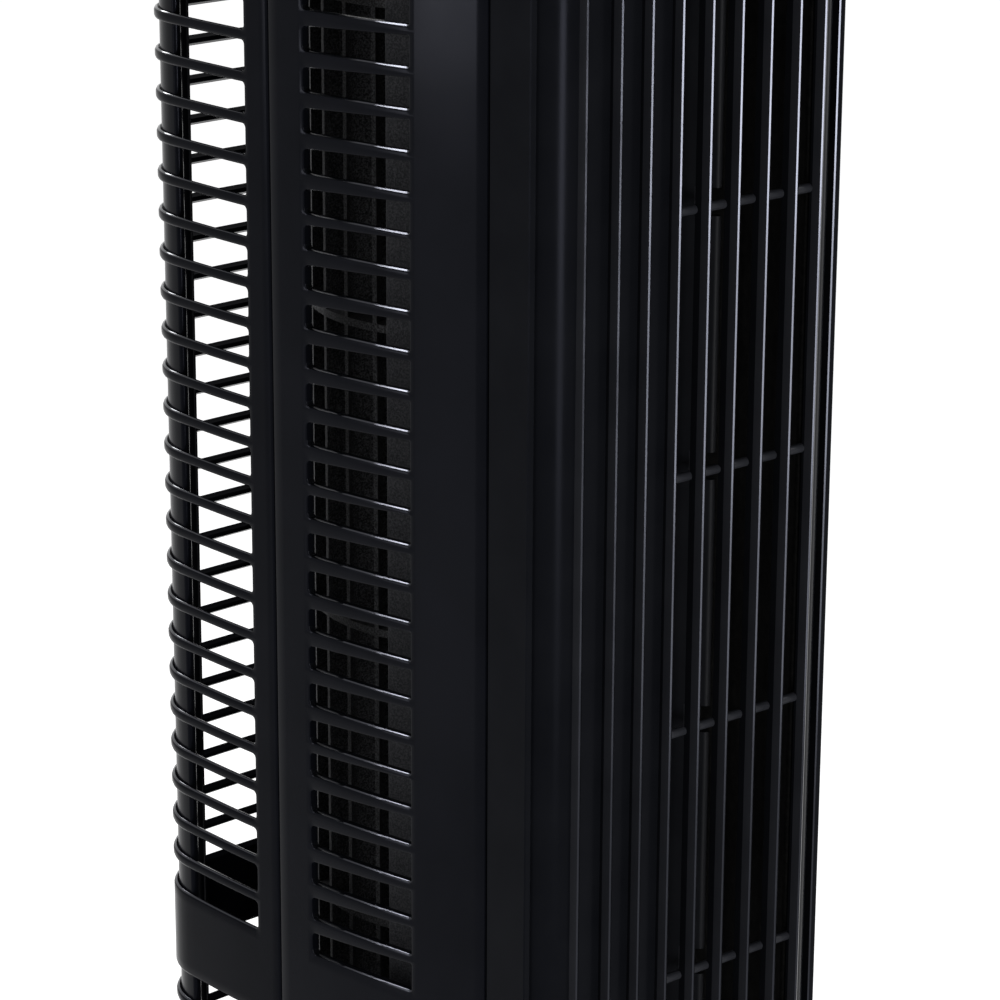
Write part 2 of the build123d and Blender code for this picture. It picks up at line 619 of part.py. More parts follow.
def tower_foot():
    """The bottom of the tower: a cup with the swivel sleeve, a ledge and the swing motor's bosses."""
    foot = prism(full_outline(0), FOOT_BOTTOM, SHELL_BOTTOM)
    foot = fillet(foot.faces().sort_by(Axis.Z)[0].edges(), WALL)
    inside = prism(full_outline(WALL), FOOT_BOTTOM + WALL, SHELL_BOTTOM)
    ledge = prism(full_outline(WALL) - full_outline(WALL + LEDGE_WIDTH), LEDGE_Z - WALL, LEDGE_Z)
    room = span(-TAB_SPACING / 2 - TAB_WIDTH, TAB_SPACING / 2 + TAB_WIDTH, IMPELLER_Y, BIG)
    foot = foot - inside + (ledge - prism(room & full_outline(WALL), 0, SHELL_BOTTOM))
    foot += rod(0, 0, FOOT_BOTTOM, FOOT_BOTTOM + SLEEVE_LENGTH, SLEEVE_RADIUS)
    foot -= rod(0, 0, 0, SHELL_BOTTOM, POST_RADIUS + POST_CLEARANCE)
    for x, y in ear_places():
        foot += rod(x, y, FOOT_BOTTOM + WALL / 2, SWING_MOTOR_BOTTOM, SWING_EAR_RADIUS)
    gland = (0, BIG, FOOT_BOTTOM + GLAND_ABOVE_FOOT)
    foot -= along_y(gland, GLAND_RADIUS + BOLT_CLEARANCE, BIG - IMPELLER_Y)
    return foot - list(screw_cuts())


def screw_cuts():
    """Clearance hole and counterbore for each of the guard's screws."""
    for place in tab_screw_places():
        yield along_y(place, SCREW_RADIUS + BOLT_CLEARANCE, 2 * WALL)
        yield along_y(place, SCREW_HEAD + PART_GAP, -4 * WALL)


def guard_screws():
    """The four screws that hold the rear guard to the foot and the cap."""
    screws = []
    for place in tab_screw_places():
        head = along_y(place, SCREW_HEAD, -SCREW_HEAD_HEIGHT)
        screws.append(along_y(place, SCREW_RADIUS, TAB_SCREW_LENGTH) + head)
    return Compound(children=screws)


def cord_gland():
    """The bush in the back of the foot that the supply cord leaves by."""
    z = FOOT_BOTTOM + GLAND_ABOVE_FOOT
    outer, inner = back_at(0), back_at(GLAND_FLANGE, WALL + PART_GAP / 3)
    gland = along_y((0, outer, z), GLAND_RADIUS, outer - inner + GLAND_FLANGE_THICKNESS)
    gland += along_y((0, outer, z), GLAND_FLANGE, -GLAND_FLANGE_THICKNESS)
    gland += along_y((0, inner, z), GLAND_FLANGE, GLAND_FLANGE_THICKNESS)
    return gland - along_y((0, BIG, z), GLAND_BORE, BIG)


def ear_places():
    """The swing motor's two fixing ears."""
    for side in (-1, 1):
        yield PINION_X, side * SWING_EAR_SPAN / 2


def tooth(teeth, middle):
    """An involute tooth's outline, from root to root, about a direction in radians."""
    pitch = GEAR_MODULE * teeth / 2
    base = pitch * math.cos(math.radians(PRESSURE_ANGLE))
    tip, root = pitch + 0.8 * GEAR_MODULE, pitch - 1.1 * GEAR_MODULE
    at_pitch = math.pi / (2 * teeth) - BACKLASH / (4 * pitch)
    start = math.tan(math.radians(PRESSURE_ANGLE)) - math.radians(PRESSURE_ANGLE)
    flank = [(root, 0.0)]
    for step in range(4):
        radius = max(base, root) + (tip - max(base, root)) * step / 3
        roll = math.acos(min(1.0, base / radius))
        flank.append((radius, math.tan(roll) - roll))
    rising = [(radius, middle - at_pitch - start + turn) for radius, turn in flank]
    falling = [(radius, middle + at_pitch + start - turn) for radius, turn in reversed(flank)]
    return [(r * math.cos(a), r * math.sin(a)) for r, a in rising + falling]


def sector_gear():
    """The fixed toothed sector on the swivel post."""
    step = 360.0 / SECTOR_TEETH
    reach = int(SECTOR_HALF_ANGLE / step)
    points = [(0.0, 0.0)]
    for index in range(-reach, reach + 1):
        points += tooth(SECTOR_TEETH, math.radians(index * step))
    section = make_face(Polyline(*points, close=True)) + Circle(RETAINER_RADIUS)
    gear = prism(section, GEAR_BOTTOM, GEAR_TOP)
    return gear - rod(0, 0, 0, GEAR_TOP + 1, POST_RADIUS + SHAFT_CLEARANCE)


def swing_pinion():
    """The swing motor's pinion with its shaft."""
    points = []
    for index in range(PINION_TEETH):
        points += tooth(PINION_TEETH, math.pi * (1 + (2 * index + 1) / PINION_TEETH))
    gear = prism(make_face(Polyline(*points, close=True)), GEAR_BOTTOM, GEAR_TOP)
    gear += rod(0, 0, GEAR_TOP, SWING_MOTOR_BOTTOM + SWING_MOTOR_LENGTH / 2, PINION_SHAFT)
    return Pos(PINION_X, 0) * gear


def swing_motor():
    """The geared motor that drives the swing, standing on two bosses of the foot."""
    top = SWING_MOTOR_BOTTOM + SWING_MOTOR_LENGTH
    body = rod(PINION_X, 0, SWING_MOTOR_BOTTOM, top, SWING_MOTOR_RADIUS)
    ears = [Pos(x, y) * Circle(SWING_EAR_RADIUS) for x, y in ear_places()]
    bar = Pos(PINION_X, 0) * Rectangle(2 * SWING_EAR_RADIUS, SWING_EAR_SPAN) + ears
    body += prism(bar, SWING_MOTOR_BOTTOM, SWING_MOTOR_BOTTOM + SWING_EAR_THICKNESS)
    bore = SWING_MOTOR_BOTTOM + SWING_MOTOR_LENGTH / 2 + PART_GAP
    return body - rod(PINION_X, 0, 0, bore, PINION_SHAFT + POST_CLEARANCE)


def panel_shape(shrink):
    """The control panel's outline, drawn in by shrink."""
    length, width = PANEL_LENGTH - 2 * shrink, PANEL_WIDTH - 2 * shrink
    return Pos(0, PANEL_Y) * RectangleRounded(length, width, PANEL_CORNER - shrink)


def top_cap():
    """The head: a rounded cup with a ledge that carries the control panel."""
    cap = prism(full_outline(0), SHELL_TOP, CAP_TOP_Z)
    cap = fillet(cap.faces().sort_by(Axis.Z)[-1].edges(), CAP_ROUND)
    cap -= prism(full_outline(WALL), SHELL_TOP, CAP_TOP_Z - CAP_TOP)
    rim = full_outline(WALL) - full_outline(WALL + FLOOR_WALL + LEDGE_WIDTH)
    tabs = back_at(TAB_SPACING / 2 + TAB_WIDTH / 2, WALL) - TAB_THICKNESS
    rim -= span(-BIG, BIG, tabs - WALL, BIG)
    cap += prism(rim, SHELL_TOP, SHELL_TOP + WALL)
    cap -= prism(panel_shape(0), PANEL_UNDER, CAP_TOP_Z + 1)
    cap -= prism(panel_shape(PANEL_LEDGE), CAP_TOP_Z - CAP_TOP - 1, CAP_TOP_Z)
    return cap - list(screw_cuts())


def button_places():
    """Middle of each push button, from left to right."""
    for index in range(BUTTON_COUNT):
        yield (index - (BUTTON_COUNT - 1) / 2) * BUTTON_PITCH, BUTTON_Y


def board_posts():
    """The posts that hold the board under the panel."""
    x = PANEL_LENGTH / 2 - PANEL_LEDGE - BOARD_MARGIN - SCREEN_POST
    y = PANEL_WIDTH / 2 - PANEL_LEDGE - BOARD_MARGIN - SCREEN_POST
    for side in (-1, 1):
        yield side * x, PANEL_Y + y


def control_panel():
    """The inset panel with its button holes, the lens slot and the board's posts."""
    panel = prism(panel_shape(PART_GAP), PANEL_UNDER, CAP_TOP_Z)
    panel -= [rod(x, y, 0, CAP_TOP_Z + 1, BUTTON_RADIUS + BUTTON_GAP) for x, y in button_places()]
    slot = RectangleRounded(LENS_LENGTH + PART_GAP, LENS_WIDTH + PART_GAP, LENS_WIDTH / 2)
    panel -= prism(Pos(0, LENS_Y) * slot, PANEL_UNDER, CAP_TOP_Z)
    return panel + [rod(x, y, BOARD_TOP, PANEL_UNDER, SCREEN_POST) for x, y in board_posts()]


def indicator_lens():
    """The clear strip over the indicator lamps."""
    window = RectangleRounded(LENS_LENGTH - PART_GAP, LENS_WIDTH - PART_GAP, LENS_WIDTH / 3)
    edge = Rectangle(LENS_LENGTH + 2 * LENS_FLANGE, LENS_WIDTH + 2 * LENS_FLANGE)
    lens = prism(window, PANEL_UNDER, CAP_TOP_Z) + prism(edge, PANEL_UNDER - LENS_FLANGE, PANEL_UNDER)
    return Pos(0, LENS_Y) * lens


def push_button(place):
    """A push button with an eased top and a flange that holds it under the panel."""
    x, y = place
    cap = rod(x, y, PANEL_UNDER - BUTTON_BACK, CAP_TOP_Z + BUTTON_PROUD, BUTTON_RADIUS)
    cap = chamfer(cap.faces().sort_by(Axis.Z)[-1].edges(), BUTTON_PROUD / 3)
    top = PANEL_UNDER - PART_GAP
    return cap + rod(x, y, top - BUTTON_FLANGE, top, BUTTON_RADIUS + BUTTON_GAP + BUTTON_FLANGE)


def control_board():
    """The circuit board with a key switch under each button."""
    margin = PANEL_LEDGE + BOARD_MARGIN / 2
    board = prism(panel_shape(margin), BOARD_TOP - BOARD_THICKNESS, BOARD_TOP)
    height = BOARD_DROP - BUTTON_BACK - BUTTON_TRAVEL - PART_GAP
    for x, y in button_places():
        board += prism(Pos(x, y) * Rectangle(SWITCH_SIZE, SWITCH_SIZE), BOARD_TOP, BOARD_TOP + height)
    return board


def dome(radius_cut, z_cut):
    """Half the base's section, drawn in by a wall: a low rim, a slack dome and a straight neck."""
    rim_z = FOOT_PAD_HEIGHT + BASE_RIM
    neck_z = BASE_TOP - NECK_HEIGHT
    start = (BASE_RADIUS - radius_cut, rim_z - z_cut / 2)
    end = (NECK_FOOT_RADIUS - radius_cut, neck_z - z_cut)
    lean = ((start[0] + end[0]) / 2 + BASE_WALL, (start[1] + end[1]) / 2 - 2 * BASE_WALL)
    edges = Line((0, FOOT_PAD_HEIGHT), (start[0], FOOT_PAD_HEIGHT))
    edges += Line((start[0], FOOT_PAD_HEIGHT), start)
    edges += ThreePointArc(start, (lean[0] - radius_cut / 2, lean[1]), end)
    edges += Line(end, (NECK_RADIUS - radius_cut, BASE_TOP - z_cut))
    edges += Line((NECK_RADIUS - radius_cut, BASE_TOP - z_cut), (0, BASE_TOP - z_cut))
    edges += Line((0, BASE_TOP - z_cut), (0, FOOT_PAD_HEIGHT))
    return revolve(Plane.XZ * make_face(edges), Axis.Z)


def base_shell():
    """The round base: a thin dome with a neck, bosses for the plate's screws and a hole for the post."""
    shell = dome(0, 0) - dome(BASE_WALL, BASE_SEAT)
    inside = BASE_TOP - BASE_SEAT
    floor = FOOT_PAD_HEIGHT + PLATE_THICKNESS
    for x, y in polar(BASE_SCREW_COUNT, BASE_SCREW_CIRCLE, 45):
        boss = rod(x, y, floor, inside + BASE_SEAT / 2, SCREW_RADIUS + BOSS_WALL) & dome(0, 0)
        shell = shell + boss - rod(x, y, floor - 1, floor + SCREW_LENGTH, SCREW_RADIUS + BOLT_CLEARANCE)
    return shell - rod(0, 0, 0, BASE_TOP + 1, POST_RADIUS + PART_GAP)


def base_plate():
    """The steel plate that closes the base from below."""
    radius = BASE_RADIUS - BASE_WALL - PART_GAP
    plate = rod(0, 0, FOOT_PAD_HEIGHT, FOOT_PAD_HEIGHT + PLATE_THICKNESS, radius)
    places = polar(BASE_SCREW_COUNT, BASE_SCREW_CIRCLE, 45)
    return plate - [rod(x, y, 0, BASE_TOP, SCREW_RADIUS + BOLT_CLEARANCE) for x, y in places]


def base_screws():
    """The screws that hold the plate to the base."""
    screws = []
    for x, y in polar(BASE_SCREW_COUNT, BASE_SCREW_CIRCLE, 45):
        screw = rod(x, y, FOOT_PAD_HEIGHT, FOOT_PAD_HEIGHT + SCREW_LENGTH, SCREW_RADIUS)
        screws.append(screw + rod(x, y, FOOT_PAD_HEIGHT - SCREW_HEAD_HEIGHT, FOOT_PAD_HEIGHT, SCREW_HEAD))
    return Compound(children=screws)


def rubber_feet():
    """The pads that the base stands on."""
    places = polar(FOOT_PAD_COUNT, FOOT_PAD_CIRCLE)
    return Compound(children=[rod(x, y, 0, FOOT_PAD_HEIGHT, FOOT_PAD_RADIUS) for x, y in places])


def ballast_ring():
    """The weight that lies on the plate."""
    floor = FOOT_PAD_HEIGHT + PLATE_THICKNESS
    return ring(0, 0, floor, floor + BALLAST_HEIGHT, BALLAST_OUTER, BALLAST_INNER)


def swivel_post():
    """The hollow post that the tower turns on, with its flange under the base's top."""
    top = BASE_TOP - BASE_SEAT
    post = rod(0, 0, top - BASE_SEAT, GEAR_TOP, POST_RADIUS) + rod(0, 0, top - BASE_SEAT, top, POST_FLANGE)
    return post - rod(0, 0, 0, GEAR_TOP + 1, POST_BORE)


def thrust_washer():
    """The slippery ring between the base and the tower."""
    return ring(0, 0, BASE_TOP, FOOT_BOTTOM, NECK_RADIUS - BASE_WALL, POST_RADIUS + PART_GAP)


def swivel_retainer():
    """The ring on the post that keeps the tower from lifting off."""
    return ring(0, 0, SLEEVE_TOP + PART_GAP, RETAINER_TOP, RETAINER_RADIUS, POST_RADIUS + SHAFT_CLEARANCE)


def bearing_rubber():
    """The rubber ring that holds the upper bush."""
    bore = TOP_BUSH_RADIUS + SHAFT_CLEARANCE
    return ring(0, IMPELLER_Y, SHELL_TOP - HOLDER_LENGTH, SHELL_TOP, RUBBER_RADIUS, bore)


def bearing_bush():
    """The upper sleeve bearing of the drum."""
    bore = PIN_RADIUS + SHAFT_CLEARANCE
    return ring(0, IMPELLER_Y, SHELL_TOP - HOLDER_LENGTH, SHELL_TOP, TOP_BUSH_RADIUS, bore)


def impeller_pin():
    """The steel pin in the drum's upper hub that runs in the bush."""
    return rod(0, IMPELLER_Y, IMPELLER_TOP - HUB_LENGTH, SHELL_TOP - PART_GAP, PIN_RADIUS)


def hub_screw():
    """The set screw that locks the drum to the motor's shaft."""
    length = HUB_RADIUS - SHAFT_RADIUS
    place = Pos(SHAFT_RADIUS + length / 2, IMPELLER_Y, IMPELLER_BOTTOM + HUB_LENGTH / 2)
    return place * Rot(0, 90, 0) * Cylinder(SCREW_RADIUS, length - PART_GAP / 2)


def build():
    """Every piece of the fan by name."""
    buttons = list(button_places())
    return {
        "base_shell": base_shell(),
        "base_plate": base_plate(),
        "base_screws": base_screws(),
        "rubber_feet": rubber_feet(),
        "ballast_ring": ballast_ring(),
        "swivel_post": swivel_post(),
        "thrust_washer": thrust_washer(),
        "swivel_retainer": swivel_retainer(),
        "sector_gear": sector_gear(),
        "tower_foot": tower_foot(),
        "cord_gland": cord_gland(),
        "swing_motor": swing_motor(),
        "motor_deck": motor_deck(),
        "motor_bell_lower": motor_bell(MOTOR_BOTTOM, 1),
        "motor_bell_upper": motor_bell(MOTOR_TOP, -1),
        "motor_stack": motor_stack(),
        "motor_bushes": motor_bushes(),
        "motor_bolts": motor_bolts(),
        "side_panel_left": side_panel(-1),
        "side_panel_right": side_panel(1),
        "rear_guard": rear_guard(),
        "front_grille": front_grille(),
        "outlet_tongue": outlet_tongue(),
        "scroll_guide": scroll_guide(),
        "bearing_deck": bearing_deck(),
        "bearing_rubber": bearing_rubber(),
        "bearing_bush": bearing_bush(),
        "guard_screws": guard_screws(),
        "top_cap": top_cap(),
        "control_panel": control_panel(),
        "indicator_lens": indicator_lens(),
        "control_board": control_board(),
        "impeller": impeller(),
        "impeller_pin": impeller_pin(),
        "motor_shaft": motor_shaft(),
        "motor_rotor": motor_rotor(),
        "hub_screw": hub_screw(),
        "swing_pinion": swing_pinion(),
        "power_button": push_button(buttons[0]),
        "speed_button": push_button(buttons[1]),
        "timer_button": push_button(buttons[2]),
        "swing_button": push_button(buttons[3]),
    }


os.makedirs("parts", exist_ok=True)
for name, shape in build().items():
    export_step(shape, os.path.join("parts", name + ".step"))
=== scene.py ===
import logging
import math
from bisect import bisect_right
from collections.abc import Iterator, Mapping, Sequence
from dataclasses import dataclass, field
from enum import Enum

import bmesh
import bpy
from mathutils import Matrix, Quaternion, Vector


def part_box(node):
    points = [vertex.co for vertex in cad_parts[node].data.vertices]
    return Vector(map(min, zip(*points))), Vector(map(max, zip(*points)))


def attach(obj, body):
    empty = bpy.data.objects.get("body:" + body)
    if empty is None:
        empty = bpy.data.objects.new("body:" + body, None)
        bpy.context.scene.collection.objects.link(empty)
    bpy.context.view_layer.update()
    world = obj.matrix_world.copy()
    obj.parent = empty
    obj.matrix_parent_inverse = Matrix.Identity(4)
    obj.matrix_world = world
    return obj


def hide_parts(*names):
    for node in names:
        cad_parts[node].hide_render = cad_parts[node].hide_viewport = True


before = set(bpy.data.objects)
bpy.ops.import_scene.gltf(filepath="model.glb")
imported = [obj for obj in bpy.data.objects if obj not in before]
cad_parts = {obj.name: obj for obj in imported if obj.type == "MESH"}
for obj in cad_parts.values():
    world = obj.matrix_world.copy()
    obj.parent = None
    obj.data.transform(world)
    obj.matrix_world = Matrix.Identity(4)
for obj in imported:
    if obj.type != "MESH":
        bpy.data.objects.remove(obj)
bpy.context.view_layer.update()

MM = 0.001
WELD = 0.002 * MM
# Share of a rounding's radius at which its middle point lies.
EASE = 0.293
# Steps along a side panel and along each other curve of a wall, and points on each corner of a slot.
SIDE_STEPS = 20
ARC_STEPS = 12
CORNER_POINTS = 5
# Least distance of a wall's own points from the ends of a stretch.
APART = 0.05
# Wall that a slot's row keeps above and below it, where there is more than twice as much.
LAND = 3.0
# Where most of a noise's values lie.
NOISE_SPAN = {"From Min": 0.3, "From Max": 0.7}
# Heights that differ by less are the same.
TINY = 0.001
# Edges that turn by more are sharp ones.
SHARP_DEGREES = 50.0
LOG = logging.getLogger("tower_fan")

Point = tuple[float, float, float]
Flat = tuple[float, float]
Tree = bpy.types.NodeTree
Socket = bpy.types.NodeSocket


class Body(Enum):
    """The rigid bodies that new pieces ride on."""

    TOWER = "tower"


class Side(Enum):
    """The tower's two sides, as seen from the front."""

    LEFT = -1
    RIGHT = 1


def linear(code: str) -> tuple[float, float, float, float]:
    """Turns an sRGB hex colour into Blender's linear colour.

    Args:
        code: Six hex digits with a leading hash.

    Returns:
        Linear red, green, blue and an alpha of 1.
    """
    parts = [int(code[index:index + 2], 16) / 255 for index in (1, 3, 5)]
    values = [part / 12.92 if part <= 0.04045 else ((part + 0.055) / 1.055) ** 2.4 for part in parts]
    return values[0], values[1], values[2], 1.0


def add_node(tree: Tree, kind: str, inputs: Mapping[str | int, object], **settings: object) -> bpy.types.Node:
    """Adds a node with its settings and links.

    Args:
        tree: The node tree that gets the node.
        kind: Blender's type name of the node.
        inputs: Socket name or number to a constant, or to the output socket that feeds it.
        **settings: Properties of the node.

    Returns:
        The new node.
    """
    node = tree.nodes.new(kind)
    for name, value in settings.items():
        setattr(node, name, value)
    for name, value in inputs.items():
        if isinstance(value, Socket):
            tree.links.new(value, node.inputs[name])
        else:
            node.inputs[name].default_value = value
    return node


def new_material(name: str) -> tuple[bpy.types.Material, Tree, bpy.types.Node]:
    """Makes an empty node material.

    Args:
        name: The material's name.

    Returns:
        The material, its tree and its output node.
    """
    material = bpy.data.materials.new(name)
    material.use_nodes = True
    tree = material.node_tree
    tree.nodes.clear()
    return material, tree, tree.nodes.new("ShaderNodeOutputMaterial")


@dataclass(frozen=True)
class Finish:
    """What a surface is made of and how, as a procedural material."""

    name: str

    def material(self) -> bpy.types.Material:
        """Makes the finish's material on its first use.

        Returns:
            The material.
        """
        found = bpy.data.materials.get(self.name)
        if found:
            return found
        material, tree, output = new_material(self.name)
        place = add_node(tree, "ShaderNodeTexCoord", {}).outputs["Object"]
        shader = add_node(tree, "ShaderNodeBsdfPrincipled", self.shader_inputs(tree, place))
        tree.links.new(shader.outputs["BSDF"], output.inputs["Surface"])
        return material

    def shader_inputs(self, tree: Tree, place: Socket) -> dict[str, object]:
        """Builds the nodes that feed the shader.

        Args:
            tree: The material's tree.
            place: Where on the piece, in metres.

        Returns:
            Name of a shader's socket to a constant or to the output that feeds it.
        """
        raise NotImplementedError


@dataclass(frozen=True)
class MouldedPlastic(Finish):
    """A pigmented plastic or rubber as it leaves the mould, with any dust that has settled on it."""

    colour: str
    pale_colour: str
    roughness: float
    roughness_swing: float = 0.04
    specular: float = 0.5
    # A colour laid on every reflection: a painted reflection tint, here a faint blue that stands in for
    # bluish light.
    painted_reflection_tint: str = "#ffffff"
    ior: float = 1.5
    grain_mm: float = 0.7
    grain_height_mm: float = 0.02
    mottle_mm: float = 18.0
    dust: float = 0.0
    dust_colour: str = "#77756f"
    dust_mm: float = 2.4
    dust_span: Flat = (0.42, 0.72)
    dust_roughness: float = 0.9

    def shader_inputs(self, tree: Tree, place: Socket) -> dict[str, object]:
        """Builds the pigment's mottle, the dust and the mould's grain.

        Args:
            tree: The material's tree.
            place: Where on the piece, in metres.

        Returns:
            Name of a shader's socket to a constant or to the output that feeds it.
        """
        mottle = add_node(
            tree, "ShaderNodeTexNoise",
            {"Vector": place, "Scale": 1 / (self.mottle_mm * MM), "Detail": 4.0, "Roughness": 0.55},
        ).outputs["Fac"]
        paleness = add_node(tree, "ShaderNodeMapRange", {"Value": mottle, **NOISE_SPAN}).outputs["Result"]
        colour = add_node(
            tree, "ShaderNodeMix",
            {0: paleness, 6: linear(self.colour), 7: linear(self.pale_colour)},
            data_type="RGBA",
        ).outputs[2]
        low, high = self.roughness - self.roughness_swing, self.roughness + self.roughness_swing
        rough = add_node(
            tree, "ShaderNodeMapRange", {"Value": mottle, **NOISE_SPAN, "To Min": low, "To Max": high},
        ).outputs["Result"]
        if self.dust > 0:
            colour, rough = self._dusted(tree, place, colour, rough)
        grain = add_node(
            tree, "ShaderNodeTexNoise",
            {"Vector": place, "Scale": 1 / (self.grain_mm * MM), "Detail": 2.0, "Roughness": 0.6},
        ).outputs["Fac"]
        relief = add_node(
            tree, "ShaderNodeBump",
            {"Height": grain, "Strength": 1.0, "Distance": self.grain_height_mm * MM},
        ).outputs["Normal"]
        return {
            "Base Color": colour, "Roughness": rough, "Normal": relief, "IOR": self.ior,
            "Specular IOR Level": self.specular, "Specular Tint": linear(self.painted_reflection_tint),
        }

    def _dusted(self, tree: Tree, place: Socket, colour: Socket, rough: Socket) -> tuple[Socket, Socket]:
        """Lays house dust over a colour and a roughness.

        Args:
            tree: The material's tree.
            place: Where on the piece, in metres.
            colour: The clean colour.
            rough: The clean roughness.

        Returns:
            The dusty colour and roughness.
        """
        fluff = add_node(
            tree, "ShaderNodeTexNoise",
            {"Vector": place, "Scale": 1 / (self.dust_mm * MM), "Detail": 5.0, "Roughness": 0.7},
        ).outputs["Fac"]
        bare, full = self.dust_span
        patch = add_node(
            tree, "ShaderNodeMapRange",
            {"Value": fluff, "From Min": bare, "From Max": full, "To Max": self.dust},
        ).outputs["Result"]
        dusty = add_node(
            tree, "ShaderNodeMix", {0: patch, 6: colour, 7: linear(self.dust_colour)}, data_type="RGBA",
        ).outputs[2]
        dull = add_node(
            tree, "ShaderNodeMapRange",
            {"Value": patch, "To Min": self.roughness, "To Max": self.dust_roughness},
        ).outputs["Result"]
        return dusty, add_node(tree, "ShaderNodeMath", {0: dull, 1: rough}, operation="MAXIMUM").outputs[0]


@dataclass(frozen=True)
class WorkedMetal(Finish):
    """A bare or plated metal with the streaks that its making left."""

    colour: str
    dark_colour: str
    roughness: float
    roughness_swing: float = 0.1
    streak_mm: tuple[float, float, float] = (0.4, 0.4, 6.0)
    streak_height_mm: float = 0.01

    def shader_inputs(self, tree: Tree, place: Socket) -> dict[str, object]:
        """Builds the streaks in colour, roughness and height.

        Args:
            tree: The material's tree.
            place: Where on the piece, in metres.

        Returns:
            Name of a shader's socket to a constant or to the output that feeds it.
        """
        scale = [1 / (size * MM) for size in self.streak_mm]
        stretched = add_node(tree, "ShaderNodeMapping", {"Vector": place, "Scale": scale}).outputs["Vector"]
        streak = add_node(
            tree, "ShaderNodeTexNoise", {"Vector": stretched, "Scale": 1.0, "Detail": 3.0},
        ).outputs["Fac"]
        colour = add_node(
            tree, "ShaderNodeMix",
            {0: streak, 6: linear(self.colour), 7: linear(self.dark_colour)},
            data_type="RGBA",
        ).outputs[2]
        low, high = self.roughness - self.roughness_swing, self.roughness + self.roughness_swing
        rough = add_node(
            tree, "ShaderNodeMapRange", {"Value": streak, **NOISE_SPAN, "To Min": low, "To Max": high},
        ).outputs["Result"]
        relief = add_node(
            tree, "ShaderNodeBump",
            {"Height": streak, "Strength": 1.0, "Distance": self.streak_height_mm * MM},
        ).outputs["Normal"]
        return {"Base Color": colour, "Roughness": rough, "Metallic": 1.0, "Normal": relief}


# Blue-black ABS from a polished mould: deep black, with soft mirror streaks and a faint orange peel, and a
# painted blue tint on its reflections.
GLOSS_BLACK = MouldedPlastic(
    "abs_black_gloss_moulded", "#06070a", "#090a0e", 0.15, 0.025,
    specular=0.04, painted_reflection_tint="#e0e4ff", grain_mm=1.6, grain_height_mm=0.0016,
)
# The rear guard's own moulding, from an older and duller mould: blacker, with a wider sheen, and the same
# painted blue tint on its reflections.
GUARD_BLACK = MouldedPlastic(
    "abs_black_dull_moulded", "#06070a", "#090a0e", 0.2, 0.03,
    specular=0.03, painted_reflection_tint="#e0e4ff", grain_mm=1.6, grain_height_mm=0.0016,
)
# The grille's moulding: a lightly stoned mould that scatters more light, so its floor isn't quite black; its
# reflections have the painted blue tint too.
GRILLE_BLACK = MouldedPlastic(
    "abs_black_stoned_mould", "#0b0c0f", "#0f1013", 0.2, 0.03,
    specular=0.018, painted_reflection_tint="#e0e4ff", grain_mm=1.2, grain_height_mm=0.003,
)
# The fins' flanks near their noses and the cross rods: satin, with a greyer colour that is painted light, for
# the front light on the flanks and on the rods that sit in the fins' shade.
PAINTED_LIT_GREY = MouldedPlastic("abs_black_satin_painted_lit", "#202125", "#25262a", 0.4, specular=0.1)
# The same mouldings where the mould's steel was polished bright, on noses and rims: a hard thin glint, with a
# painted blue tint on it.
EDGE_BLACK = MouldedPlastic(
    "abs_black_polished_edge", "#08090b", "#0b0c0f", 0.13, 0.03,
    specular=0.35, painted_reflection_tint="#e6eaff", grain_mm=1.6, grain_height_mm=0.0016,
)
# The same ABS on faces nobody touches: a coarser mould finish that stays matt.
INNER_BLACK = MouldedPlastic("abs_black_matt_moulded", "#070708", "#0b0b0c", 0.5, specular=0.08, dust=0.06)
# Charcoal ABS of the tongue: dark on its flat vane, with a soft light along its round front edge.
GUIDE_GREY = MouldedPlastic("abs_charcoal_satin_moulded", "#0d0e11", "#121316", 0.5, specular=0.08)
# The same ABS on the lip beside the drum, where the air drops its dust: grey and mottled.
GUIDE_DUSTY = MouldedPlastic(
    "abs_charcoal_dusty", "#1b1c1f", "#232427", 0.6,
    specular=0.08, dust=0.2, dust_colour="#86868a", dust_mm=0.5,
)
# Glass-filled ABS of the drum: dull charcoal, greyed by the fine dust that its blades collect.
DRUM_BLACK = MouldedPlastic(
    "abs_glass_filled_dusty", "#0d0e0f", "#141516", 0.55,
    specular=0.12, grain_mm=0.5, dust=0.45, dust_colour="#86868a", dust_mm=0.5,
)
# Polished-mould ABS of the control panel: a clean hard reflection.
PANEL_BLACK = MouldedPlastic(
    "abs_black_polished_mould", "#08090a", "#0b0c0d", 0.12, 0.02, specular=0.25, grain_height_mm=0.002,
)
# Soft-touch buttons: a little greyer than the panel and without its hard reflection.
BUTTON_GREY = MouldedPlastic("abs_charcoal_soft_touch", "#26282b", "#2c2e31", 0.45, specular=0.35)
# Smoked acrylic strip over the lamps: dark and glassy.
LENS_SMOKE = MouldedPlastic(
    "acrylic_smoked_polished", "#0d0f12", "#101317", 0.06, 0.01, specular=0.5, ior=1.49, grain_height_mm=0.0,
)
# Natural rubber feet and bearing mount: matt with a bloom.
RUBBER_BLACK = MouldedPlastic("rubber_black_moulded", "#121213", "#1d1d1e", 0.8, specular=0.25, grain_mm=1.2)
# Unpigmented nylon gears: milky and waxy.
NYLON_MILKY = MouldedPlastic("nylon_natural_moulded", "#d9d4c4", "#e4dfd0", 0.42, specular=0.4)
# Circuit board under solder resist: green lacquer on glass cloth.
BOARD_GREEN = MouldedPlastic("glass_epoxy_green_lacquer", "#123c22", "#174a2a", 0.3, grain_mm=1.0)
# Zinc-plated steel: cool grey, lightly streaked.
ZINC_STEEL = WorkedMetal("steel_zinc_plated", "#b9bcc0", "#8f949a", 0.34)
# Turned bright steel of shafts: fine rings.
BRIGHT_STEEL = WorkedMetal("steel_bright_turned", "#c4c6c8", "#9ea1a5", 0.22, streak_mm=(4.0, 4.0, 0.4))
# Die-cast aluminium bells: pale and granular.
CAST_ALUMINIUM = WorkedMetal("aluminium_die_cast", "#a9abad", "#7f8286", 0.48, streak_mm=(1.2, 1.2, 1.2))
